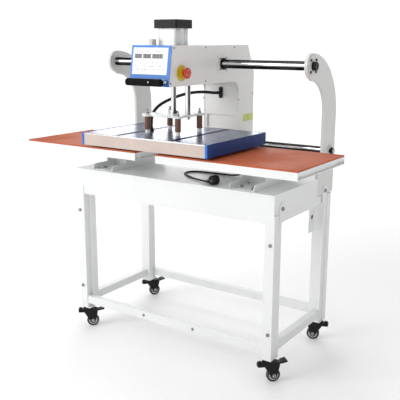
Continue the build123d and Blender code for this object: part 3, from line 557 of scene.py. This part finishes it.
def tag_paper(name):
    """Thin yellow-green film, slightly wrinkled."""
    f = Finish(name, (0.62, 0.68, 0.16), 0.42)
    f.color(f.mottle(30, 4, (0.66, 0.72, 0.22), (0.56, 0.62, 0.14)))
    f.bump(f.noise(45, 3), 0.4, 0.5 * MM)
    f.roughness(f.noise(60, 2), 0.36, 0.5)
    return f.material


def brass(name):
    """Plated brass with dull handling marks."""
    f = Finish(name, (0.78, 0.72, 0.55), 0.25, 1.0)
    f.color(f.mottle(200, 4, (0.82, 0.78, 0.66), (0.6, 0.52, 0.36)))
    f.roughness(f.noise(300, 3), 0.2, 0.4)
    return f.material


WHITE = powder_coat("white_powder_coat", (0.80, 0.81, 0.805))
CREAM = powder_coat("grey_white_powder_coat", (0.83, 0.83, 0.815))
# The horns and rail mounts wear the cheeks' paint; this darker copy of it is painted shade.
SHADED_HORN = powder_coat("shaded_horn_powder_coat", (0.66, 0.67, 0.655))
BLUE = powder_coat("panel_blue", (0.035, 0.19, 0.60), 0.34, 0, 0.3)
NAVY = end_enamel("end_cover_blue")
BAND = powder_coat("band_blue", (0.010, 0.018, 0.055), 0.4, 0, 0.1)
ZINC = zinc("zinc_plate")
STEEL = turned_steel("turned_steel")
PAD = silicone_pad("silicone_sponge")
HOOD = hood_steel("hood_bright_and_beige")
BLACK = moulded("black_nylon", (0.012, 0.012, 0.013))
CASTING = cast_black("black_casting")
ALUMINIUM = drawn_aluminium("barrel_aluminium", (0.72, 0.73, 0.74))
LAMINATE = laminate("phenolic_laminate")
RUBBER = rubber("black_rubber")
SHEATH = sheath("cord_sheath")
FILM = keypad_film("keypad_film")
BRONZE = sintered_bronze("sintered_metal")
RED = glossy("stop_red", (0.66, 0.035, 0.012), 0.28, 0.1)
YELLOW = glossy("stop_yellow", (0.70, 0.50, 0.01), 0.3, 0.1)
IVORY = glossy("button_white", (0.80, 0.80, 0.79))
CAST = cast_plate("cast_aluminium")
ELEMENT = scaled_steel("element_steel")
BOARD = circuit_board("circuit_board")
INK = printed_ink("print_ink", (0.17, 0.18, 0.20))
DARK_INK = printed_ink("print_dark", (0.055, 0.06, 0.07))
WINDOW = printed_ink("display_window", (0.045, 0.040, 0.042), 0.35)
DIGIT = printed_ink("display_digit", (0.42, 0.38, 0.38), 0.3)
TAG = tag_paper("tag_film")
BRASS = brass("plated_brass")


def finish_node(name, material):
    """Give a CAD node its finish."""
    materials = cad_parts[name].data.materials
    if not materials:
        materials.append(material)
    for index in range(len(materials)):
        materials[index] = material


NODE_FINISHES = (
    (WHITE, ["deck_tray", "frame_rails_upper", "frame_rails_lower", "table_left", "table_right",
             "table_supports", "press_plate"]
     + [f"leg_{end}" for end in ENDS]),
    (CREAM, ["head_side_left", "head_side_right", "head_cover", "column_cover", "slide_bushes"]),
    (SHADED_HORN, ["horn_left", "horn_right", "rail_mounts"]),
    (ZINC, ["frame_bolts", "spacer_studs"]),
    (PAD, ["pad_left", "pad_right"]),
    (BLACK, ["lead_gland", "platen_gland", "hose_gland", "lead_plug"]
     + [f"caster_pedal_{end}" for end in ENDS]),
    (CASTING, ["cylinder_caps"]
     + [f"caster_fork_{end}" for end in ENDS]),
    (ALUMINIUM, ["cylinder_barrel"]),
    (BRONZE, ["exhaust_silencer"]),
    (BOARD, ["control_board"]),
    (BLUE, ["panel_frame"]),
    (FILM, ["panel_overlay"]),
    (RUBBER, ["handle_bar"]),
    (YELLOW, ["stop_ring"]),
    (RED, ["stop_button"]),
    (IVORY, ["start_button"]),
    (LAMINATE, ["spacers"]),
    (CAST, ["heat_block"]),
    (ELEMENT, ["heating_element"]),
    (HOOD, ["platen_hood"]),
    (NAVY, ["platen_ends"]),
)
for finish, nodes in NODE_FINISHES:
    for name in nodes:
        finish_node(name, finish)
for bar in ("upper_rail", "rear_rail"):
    finish_node(bar, ground_chrome(f"{bar}_chrome", bar))
for bar in ("piston_rod", "guide_rod"):
    finish_node(bar, upright_chrome(f"{bar}_chrome", bar))
for end in ENDS:
    finish_node(f"caster_wheel_{end}", wheel_finish(f"wheel_{end}", end))


# ---- piece tools --------------------------------------------------------------------------------
def facing(origin, direction):
    """Matrix that takes +Z to a direction and the origin to a place."""
    turn = Vector(direction).to_track_quat("Z", "Y")
    return Matrix.Translation(origin) @ turn.to_matrix().to_4x4()


SHARP_ANGLE = radians(35)


def finished(name, bm, material, body):
    """Object from a bmesh already in place, riding on a body."""
    bmesh.ops.recalc_face_normals(bm, faces=bm.faces)
    mesh = bpy.data.meshes.new(name)
    bm.to_mesh(mesh)
    bm.free()
    mesh.materials.append(material)
    mesh.polygons.foreach_set("use_smooth", [True] * len(mesh.polygons))
    mesh.set_sharp_from_angle(angle=SHARP_ANGLE)
    piece = bpy.data.objects.new(name, mesh)
    bpy.context.scene.collection.objects.link(piece)
    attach(piece, body)


def merge_in(bm, part, matrix):
    """Move a part into place and add it to a bmesh."""
    bmesh.ops.transform(part, matrix=matrix, verts=part.verts)
    mesh = bpy.data.meshes.new("part")
    part.to_mesh(mesh)
    part.free()
    bm.from_mesh(mesh)
    bpy.data.meshes.remove(mesh)


def add_block(bm, matrix, size, bevel=0.0):
    """Bevelled block, centred, into a bmesh."""
    part = bmesh.new()
    bmesh.ops.create_cube(part, size=1)
    bmesh.ops.scale(part, vec=size, verts=part.verts)
    if bevel:
        bmesh.ops.bevel(part, geom=part.edges[:], offset=bevel, segments=2, affect="EDGES", profile=0.5,
                        material=-1)
    merge_in(bm, part, matrix)


def add_turned(bm, matrix, profile, steps=32):
    """Shape spun round local Z from a profile of (radius, height) in millimetres."""
    part = bmesh.new()
    points = [part.verts.new((radius * MM, 0, height * MM)) for radius, height in profile]
    edges = [part.edges.new(pair) for pair in zip(points, points[1:])]
    bmesh.ops.spin(part, geom=points + edges, cent=(0, 0, 0), axis=(0, 0, 1), angle=2 * pi,
                   steps=steps, use_merge=True)
    bmesh.ops.remove_doubles(part, verts=part.verts, dist=1e-6)
    merge_in(bm, part, matrix)


def add_socket_screw(bm, matrix, radius):
    """Low round head with a socket sunk into it."""
    outline = ((0, 0.35), (0.48, 0.35), (0.52, 0.7), (0.92, 0.7), (1, 0.6), (1, 0))
    add_turned(bm, matrix, [(across * radius, up * radius) for across, up in outline], 18)


# ---- cords --------------------------------------------------------------------------------------
DECK = high("deck_tray").z
FRONT = low("deck_tray").y


def from_deck(route):
    """Points given in millimetres from the deck's front edge and top, in metres in the shared frame."""
    return [Vector((x * MM, FRONT + y * MM, DECK + z * MM)) for x, y, z in route]


LEAD_DIAMETER = 7.5 * MM
HOSE_DIAMETER = 13 * MM
LEAD_ROUTE = from_deck([
    (257, 228, 18), (231, 228, 18), (195, 225, 5.05), (145, 221, 4.05), (95, 222, 4.05), (47, 217, 4.05),
    (5, 212, 4.05), (-18, 184, 4.05), (-14, 148, 4.05), (17, 124, 4.05), (58, 93, 4.05), (114.9, 62.2, 6.05),
    (163.4, 50.1, 6.05)])
HOSE_ROUTE = from_deck([
    (-111, 52, 201), (-111, 52, 236), (-110, 65, 264), (-107, 94, 286), (-101, 134, 302), (-89, 182, 316),
    (-73, 234, 328), (-53, 288, 334), (-29, 337, 333), (-4, 370, 327), (-4, 406, 327)])


def cord_curve(name, route, diameter):
    """Smooth line with the route's points as its control points."""
    data = bpy.data.curves.new(name, "CURVE")
    data.dimensions = "3D"
    data.resolution_u = 12
    spline = data.splines.new("NURBS")
    spline.points.add(len(route) - 1)
    for point, place in zip(spline.points, route):
        point.co = (*place, 1)
    spline.order_u = 3
    spline.use_endpoint_u = True
    data.bevel_depth = diameter / 2
    data.bevel_resolution = 5
    data.use_fill_caps = True
    piece = bpy.data.objects.new(name, data)
    bpy.context.scene.collection.objects.link(piece)
    return piece


def line_points(route):
    """Points along the smooth line, and its length."""
    curve = cord_curve("line", route, 0)
    mesh = bpy.data.meshes.new_from_object(curve)
    points = [v.co.copy() for v in mesh.vertices]
    bpy.data.objects.remove(curve)
    length = sum((b - a).length for a, b in zip(points, points[1:]))
    return points, length


def add_plug_lead():
    """Mains lead that lies doubled back on the deck, with its plug."""
    length = line_points(LEAD_ROUTE)[1]
    lead = cord_curve("plug_lead", LEAD_ROUTE, LEAD_DIAMETER)
    lead.data.materials.append(SHEATH)
    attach(lead, "stand")
    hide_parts("lead_cord")


def add_heater_hose():
    """Sleeved hose from the heat platen to the column."""
    points, length = line_points(HOSE_ROUTE)
    curve = cord_curve("hose_line", HOSE_ROUTE, HOSE_DIAMETER)
    mesh = bpy.data.meshes.new_from_object(curve)
    bpy.data.objects.remove(curve)
    hose = bpy.data.objects.new("heater_hose_sleeve", mesh)
    bpy.context.scene.collection.objects.link(hose)
    mesh.materials.clear()
    mesh.materials.append(SHEATH)
    mesh.polygons.foreach_set("use_smooth", [True] * len(mesh.polygons))
    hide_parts("heater_hose")
    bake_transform(hose)


add_plug_lead()
add_heater_hose()


# ---- head: panel, buttons, small fittings -------------------------------------------------------
# The keypad leans back by this angle; OUT points out of its face and UP along it.
LEAN = radians(8.55)
OUT = Vector((0, -cos(LEAN), sin(LEAN)))
UP = Vector((0, sin(LEAN), cos(LEAN)))
FILM_THICK = 1.0 * MM


def panel_place(x, up, out=0.0):
    """Matrix at a spot on the keypad film: x and up in millimetres from its middle, Z out of the film."""
    film_low, film_high = low("panel_overlay"), high("panel_overlay")
    half = (film_high.z - film_low.z - FILM_THICK * sin(LEAN)) / 2 / cos(LEAN)
    center = Vector((middle("panel_overlay").x, film_low.y, film_high.z)) - UP * half
    center.y = film_low.y + half * sin(LEAN)
    spot = center + Vector((x * MM, 0, 0)) + UP * (up * MM) + OUT * (out * MM)
    turn = Matrix((Vector((1, 0, 0)), UP, OUT)).transposed().to_4x4()
    return Matrix.Translation(spot) @ turn


# Displays: place across the film, width and number of digits, all at one level.
DISPLAYS = ((-57.5, 35, 3), (-15, 38, 3), (35, 50, 4))
DISPLAY_UP = 18.5
DIGIT_HEIGHT = 11


def add_digit(bm, x, up, height):
    """Seven-bar figure eight."""
    width = height * 0.52
    bar = height * 0.13
    thick = 0.3 * MM
    out = 0.45
    for level in (-0.5, 0, 0.5):
        add_block(bm, panel_place(x, up + level * height, out), (width * MM, bar * MM, thick))
    for side in (-0.5, 0.5):
        for level in (-0.25, 0.25):
            place = panel_place(x + side * width, up + level * height, out)
            add_block(bm, place, (bar * MM, height * 0.46 * MM, thick))


def add_displays():
    windows = bmesh.new()
    digits = bmesh.new()
    for x, width, count in DISPLAYS:
        size = (width * MM, 16.5 * MM, 0.5 * MM)
        add_block(windows, panel_place(x, DISPLAY_UP, 0.15), size, 0.2 * MM)
        pitch = width / count
        for index in range(count):
            add_digit(digits, x - width / 2 + pitch * (index + 0.5), DISPLAY_UP, DIGIT_HEIGHT)
    finished("display_windows", windows, WINDOW, "head")
    finished("display_digits", digits, DIGIT, "head")


# Captions as plain bars: level, height of the bars, and each one's place across and width.
CAPTION_ROWS = (
    (35.5, 2.2, [(x, 7) for x in (-64, -52, -20, -10, 30, 40)]),
    (-19, 1.8, [(-66, 15), (-24, 12), (6, 26), (50, 14)]),
    (-31, 1.6, [(x, 8) for x in (-30, 0, 20, 44, 62)]),
)


def add_print():
    """Generic captions on the film."""
    bm = bmesh.new()
    for up, height, bars in CAPTION_ROWS:
        for x, width in bars:
            add_block(bm, panel_place(x, up, 0.05), (width * MM, height * MM, 0.2 * MM))
    finished("film_captions", bm, INK, "head")


def add_keys():
    """Four domed membrane keys with a symbol each, and three small lamps."""
    domes = bmesh.new()
    symbols = bmesh.new()
    for x, corners in ((-76, 3), (-57, 6), (-38, 3), (-19, 6)):
        add_turned(domes, panel_place(x, -31.5), [(0, 0.9), (5, 0.8), (6.3, 0.4), (6.8, 0)], 28)
        add_turned(symbols, panel_place(x, -31.5, 0.85), [(0, 0.15), (2.4, 0.15), (2.5, 0)], corners)
    for x in (-4, 14, 33):
        add_turned(symbols, panel_place(x, -4.5), [(0, 0.5), (1.6, 0.4), (1.9, 0)], 18)
    finished("key_domes", domes, FILM, "head")
    finished("key_symbols", symbols, DARK_INK, "head")


def add_panel_screws():
    bm = bmesh.new()
    for x in (-86.5, 89):
        for up in (46, -61):
            add_socket_screw(bm, panel_place(x, up, -1.0), 2.6)
    finished("panel_screws", bm, ZINC, "head")


def add_start_ring():
    """Dark bezel round the start button."""
    bm = bmesh.new()
    spot = middle("start_button") + OUT * (-2.2 * MM)
    ring = [(6.5, -0.5), (9.4, -0.5), (9.4, 1.4), (8.6, 2.2), (7.2, 2.2), (6.5, 1.4), (6.5, -0.5)]
    add_turned(bm, facing(spot, OUT), ring, 36)
    finished("start_bezel", bm, BLACK, "head")


def add_stop_marks():
    """Three plain arrows round the red button's face."""
    place = middle("stop_button")
    out = high("stop_button").x - place.x - 0.1 * MM
    bm = bmesh.new()
    for index in range(3):
        around = Matrix.Translation(place) @ Matrix.Rotation(index * 2 * pi / 3, 4, "X")
        bar = Matrix.Translation((out, 0, 12.5 * MM))
        add_block(bm, around @ bar, (0.3 * MM, 8 * MM, 1.5 * MM))
        tip = Matrix.Translation((out, 4.6 * MM, 12.3 * MM)) @ Matrix.Rotation(pi / 4, 4, "X")
        add_block(bm, around @ tip, (0.3 * MM, 3 * MM, 3 * MM))
    finished("stop_arrows", bm, IVORY, "stop")


def add_handle_mark():
    """Pale moulded plug in the grip's face."""
    bm = bmesh.new()
    x = middle("panel_frame").x + 30 * MM
    spot = Vector((x, low("handle_bar").y + 0.6 * MM, middle("handle_bar").z + 2 * MM))
    add_turned(bm, facing(spot, (0, -1, 0.1)), [(0, 0.9), (2.2, 0.7), (3, 0)], 20)
    finished("handle_plug", bm, IVORY, "head")


# Cover screws: from a cheek's front and top edges, and from its back and bottom edges.
FRONT_TOP_SCREWS = ((38, 9), (250, 9), (470, 9), (14, 140), (250, 142))
BACK_BOTTOM_SCREWS = ((12, 60), (12, 250), (130, 60), (130, 230))


def add_head_screws():
    """Small screws that hold the covers to the cheeks."""
    bm = bmesh.new()
    for side, cheek in ((1, "head_side_right"), (-1, "head_side_left")):
        near, far = low(cheek), high(cheek)
        spots = [(near.y + back * MM, far.z - down * MM) for back, down in FRONT_TOP_SCREWS]
        spots += [(far.y - ahead * MM, near.z + up * MM) for ahead, up in BACK_BOTTOM_SCREWS]
        for y, z in spots:
            place = (outer_face(cheek, side), y, z)
            add_socket_screw(bm, facing(place, (side, 0, 0)), 3.2)
    finished("cover_screws", bm, ZINC, "head")


def add_tag():
    """Plain fluorescent inspection tag stuck on the column's right side."""
    cheek = high("head_side_right")
    bm = bmesh.new()
    size = (0.5 * MM, 88 * MM, 31 * MM)
    spot = (cheek.x + 0.3 * MM, cheek.y - 46 * MM, DECK + 216 * MM)
    add_block(bm, Matrix.Translation(spot), size, 0.1 * MM)
    finished("inspection_tag", bm, TAG, "head")


def add_barrel_details():
    """Ribs up the barrel's front and back, and grey strips of painted shade up its sides where its slots
    lie, above the roof.
    """
    base, top = low("cylinder_barrel"), high("cylinder_barrel")
    center = middle("cylinder_barrel")
    roof = high("head_side_right").z
    ribs = bmesh.new()
    groove_shade = bmesh.new()
    half = (top.x - base.x) / 2
    height = top.z - roof - 1 * MM
    for side in (1, -1):
        for offset in (-34, -20, 20, 34):
            spot = Vector((center.x + side * half, center.y + offset * MM, (roof + top.z) / 2))
            # The grey side strips stand in for the shade in the side slots: painted shade.
            add_block(groove_shade, Matrix.Translation(spot), (1 * MM, 7 * MM, height), 0.4 * MM)
            spot = Vector((center.x + offset * MM, center.y + side * half, (roof + top.z) / 2))
            add_block(ribs, Matrix.Translation(spot), (2.4 * MM, 1 * MM, height), 0.4 * MM)
    finished("barrel_ribs", ribs, ALUMINIUM, "head")
    finished("barrel_groove_shade", groove_shade, STEEL, "head")


add_displays()
add_print()
add_keys()
add_panel_screws()
add_start_ring()
add_stop_marks()
add_handle_mark()
add_head_screws()
add_tag()
add_barrel_details()


# ---- ram ----------------------------------------------------------------------------------------
def add_hood_bands():
    """Two dark blue bands across the hood, and steel edging strips along its front and back."""
    near, far = low("platen_hood"), high("platen_hood")
    center = middle("platen_hood")
    bands = bmesh.new()
    band = (21 * MM, far.y - near.y - 5 * MM, 0.9 * MM)
    for x in (-130 * MM, 130 * MM):
        spot = (center.x + x, center.y, far.z + 0.35 * MM)
        add_block(bands, Matrix.Translation(spot), band, 0.25 * MM)
    finished("hood_bands", bands, BAND, "ram")
    edging = bmesh.new()
    strip = (far.x - near.x - 2 * MM, 6 * MM, 1.2 * MM)
    for y in (near.y + 4 * MM, far.y - 4 * MM):
        add_block(edging, Matrix.Translation((center.x, y, far.z + 0.4 * MM)), strip, 0.4 * MM)
    finished("hood_edging", edging, STEEL, "ram")


def add_hood_screws():
    bm = bmesh.new()
    near, far = low("platen_hood"), high("platen_hood")
    for x in (near.x + 18 * MM, far.x - 18 * MM):
        for y in (near.y + 16 * MM, far.y - 16 * MM):
            add_socket_screw(bm, facing((x, y, far.z), (0, 0, 1)), 3.6)
    finished("hood_screws", bm, ZINC, "ram")


def add_feet():
    """White ceramic feet round the studs, between the hood and the laminate spacers."""
    bm = bmesh.new()
    top = high("platen_hood").z
    height = (low("spacers").z - top) / MM
    reach = (high("spacers").x - low("spacers").x) / 2 - 12 * MM
    center = middle("spacers")
    foot = [(8.6, 0.2), (9.6, 0.8), (9.6, height - 4), (8.9, height - 3), (8.9, height - 0.3),
            (8.6, height - 0.2)]
    for x in (-reach, reach):
        for y in (-reach, reach):
            add_turned(bm, facing((center.x + x, center.y + y, top), (0, 0, 1)), foot)
    finished("ceramic_feet", bm, IVORY, "ram")


add_hood_bands()
add_hood_screws()
add_feet()


# ---- stand --------------------------------------------------------------------------------------
# Profiles of the turned fittings on the horns, as add_turned takes them.
UPPER_PLUG = ((0, 15), (5, 15), (5.6, 16), (15.4, 16), (16.6, 15), (17, 13.6), (17.4, 0))
UPPER_RING = ((17.6, -0.4), (17.6, 0.8), (18.4, 1.4), (20.6, 1.4), (21, 1), (21, -0.4))
REAR_PLUG = ((12.4, 0), (12.9, 1), (12.9, 15.2), (12.2, 16.4), (5, 16.6), (4.4, 15.8), (0, 15.8))
BLACK_SCREW = ((0, 3.2), (2.4, 3.2), (2.7, 4.4), (4.6, 4.4), (5.1, 3.9), (5.1, -0.4))
ROUND_STEPS = 40


def around_rail(x, rail, radius):
    """Four places round a rail's middle, on the diagonals."""
    for index in range(4):
        turn = index * pi / 2 + pi / 4
        yield (x, rail.y + radius * MM * cos(turn), rail.z + radius * MM * sin(turn))


def add_rail_plugs():
    """End plugs, rings and screws of both rails, on the outer faces of the horns."""
    bright = bmesh.new()
    dark = bmesh.new()
    upper = middle("upper_rail")
    rear = middle("rear_rail")
    for side, horn in ((1, "horn_right"), (-1, "horn_left")):
        face = outer_face(horn, side)
        flange = face + side * 4 * MM
        out = (side, 0, 0)
        add_turned(dark, facing((flange, upper.y, upper.z), out), UPPER_PLUG, ROUND_STEPS)
        add_turned(bright, facing((flange, upper.y, upper.z), out), UPPER_RING, ROUND_STEPS)
        for spot in around_rail(flange, upper, 32):
            add_turned(dark, facing(spot, out), BLACK_SCREW, 18)
        add_turned(dark, facing((face + side * 3.5 * MM, rear.y, rear.z), out), REAR_PLUG, ROUND_STEPS)
    finished("upper_rail_plugs", bright, STEEL, "stand")
    finished("rear_rail_plugs", dark, BLACK, "stand")


def add_table_screws():
    """Screws in the feet of the table supports, and the cable plug in the hanging bracket."""
    bm = bmesh.new()
    front = low("table_supports").y
    for side in (-1, 1):
        for x in (-36, 36):
            for y in (24, 72, 118):
                spot = (side * 350 * MM + x * MM, front + y * MM, DECK + 2.5 * MM)
                add_socket_screw(bm, facing(spot, (0, 0, 1)), 4.4)
    finished("support_screws", bm, ZINC, "stand")
    plug = bmesh.new()
    place = (462.4 * MM, FRONT + 405 * MM, DECK - 172 * MM)
    add_turned(plug, facing(place, (1, 0, 0)), [(0, 1.2), (6, 1.4), (10.8, 1.2), (12.4, 0.4), (12.4, -0.2)])
    finished("bracket_plug", plug, BLACK, "stand")


def add_rail_seals():
    """Black wiper seals and screws where the upper rail enters the head."""
    seals = bmesh.new()
    screws = bmesh.new()
    rail = middle("upper_rail")
    lip = [(18.5, -0.5), (18.5, 1.4), (19.4, 2.4), (23.4, 2.4), (24, 1.8), (24, -0.4)]
    for side in (-1, 1):
        face = outer_face("slide_bushes", side)
        out = (side, 0, 0)
        add_turned(seals, facing((face, rail.y, rail.z), out), lip, ROUND_STEPS)
        for spot in around_rail(face, rail, 31):
            add_socket_screw(screws, facing(spot, out), 3.4)
    finished("rail_seals", seals, BLACK, "head")
    finished("rail_seal_screws", screws, ZINC, "head")


def add_caster_hubs():
    """Silvery axle nuts with a washer, on both faces of each caster."""
    nut = [(0, 3.4), (2.6, 3.4), (3.2, 2.9), (6.2, 2.9), (6.6, 2.3), (6.6, 0.9), (8.6, 0.8), (8.8, 0)]
    for end in ENDS:
        across = across_caster(end)
        center = middle(f"caster_wheel_{end}")
        bm = bmesh.new()
        for side in (-1, 1):
            out = across * side
            add_turned(bm, facing(center + out * 15 * MM, out), nut, 24)
        finished(f"axle_nuts_{end}", bm, ZINC, f"fork_{end}")


def add_plug_parts():
    """Brass pins and the moulded grip ribs of the plug."""
    turn = radians(-14)
    center = Vector((208 * MM, FRONT + 39 * MM, low("lead_plug").z + 19 * MM))
    out = Vector((sin(turn), -cos(turn), 0))
    along = Vector((cos(turn), sin(turn), 0))
    pins = bmesh.new()
    for x in (-9.5, 9.5):
        add_turned(pins, facing(center + along * x * MM + out * 15.2 * MM, out),
                   [(2.45, 0), (2.45, 15.6), (1.6, 16.7), (0, 16.7)], 18)
    finished("plug_pins", pins, BRASS, "stand")
    ribs = bmesh.new()
    ridge = [(18.4, -0.7), (19, 0), (18.4, 0.7)]
    for back in (4, 7, 10, 13):
        add_turned(ribs, facing(center - out * back * MM, out), ridge, ROUND_STEPS)
    finished("plug_ribs", ribs, BLACK, "stand")


add_rail_plugs()
add_rail_seals()
add_table_screws()
add_caster_hubs()
add_plug_parts()


# ---- studio -------------------------------------------------------------------------------------
# In millimetres, as in every turned profile.
FLOOR_RADIUS = 30000


def add_floor():
    """Wide round floor, pale all over."""
    bm = bmesh.new()
    add_turned(bm, Matrix.Identity(4), [(0, 0), (FLOOR_RADIUS, 0)], 96)
    bmesh.ops.recalc_face_normals(bm, faces=bm.faces)
    mesh = bpy.data.meshes.new("studio_floor")
    bm.to_mesh(mesh)
    bm.free()
    mesh.materials.append(floor_finish("studio_floor"))
    floor = bpy.data.objects.new("studio_floor", mesh)
    bpy.context.scene.collection.objects.link(floor)


# Tone of the surround by height, from the horizon to overhead, and from the middle to the right.
HEIGHT_TONES = ((0.0, 1.04), (0.30, 1.04), (0.38, 0.50), (0.48, 0.22), (0.58, 0.42), (0.74, 1.0), (1.0, 1.0))
SIDE_TONES = ((0.0, 1.0), (0.25, 0.78), (0.7, 0.22), (1.0, 0.14))
# The darker right side comes in between these heights, so the horizon stays white.
SIDE_FROM = 0.1
SIDE_FULL = 0.26


def add_world():
    """Studio surround: white round the horizon, a dark band above it, and darker to the right."""
    world = bpy.data.worlds.new("studio")
    world.use_nodes = True
    tree = world.node_tree
    back = tree.nodes["Background"]
    coords = tree.nodes.new("ShaderNodeTexCoord")
    split = tree.nodes.new("ShaderNodeSeparateXYZ")
    tree.links.new(coords.outputs["Generated"], split.inputs[0])
    height = tone_ramp(tree, split.outputs["Z"], HEIGHT_TONES)
    side = tone_ramp(tree, split.outputs["X"], SIDE_TONES)
    lift = tree.nodes.new("ShaderNodeMapRange")
    lift.inputs["From Min"].default_value = SIDE_FROM
    lift.inputs["From Max"].default_value = SIDE_FULL
    tree.links.new(split.outputs["Z"], lift.inputs["Value"])
    mixed = tree.nodes.new("ShaderNodeMix")
    mixed.data_type = "RGBA"
    mixed.blend_type = "MULTIPLY"
    tree.links.new(lift.outputs["Result"], mixed.inputs["Factor"])
    tree.links.new(height, mixed.inputs[6])
    tree.links.new(side, mixed.inputs[7])
    tree.links.new(mixed.outputs[2], back.inputs["Color"])
    back.inputs["Strength"].default_value = 1.0
    bpy.context.scene.world = world


def add_softbox(name, place, target, size, power):
    data = bpy.data.lights.new(name, "AREA")
    data.shape = "RECTANGLE"
    data.size, data.size_y = size
    data.energy = power
    lamp = bpy.data.objects.new(name, data)
    lamp.location = place
    lamp.rotation_euler = (Vector(target) - Vector(place)).to_track_quat("-Z", "Y").to_euler()
    bpy.context.scene.collection.objects.link(lamp)


add_floor()
add_world()
add_softbox("key", (-2.2, -3.6, 2.6), (0, 0, 0.8), (2.6, 2.2), 92)
add_softbox("top", (-0.6, 0.2, 4.2), (0, 0, 0.8), (3.0, 2.0), 26)
add_softbox("fill", (3.6, -1.4, 2.6), (0, 0, 1.3), (1.6, 1.6), 9)
add_softbox("back", (-2.5, 3.5, 2.2), (0, 0, 0.9), (2.0, 1.6), 30)
bpy.context.scene.view_settings.view_transform = "Standard"
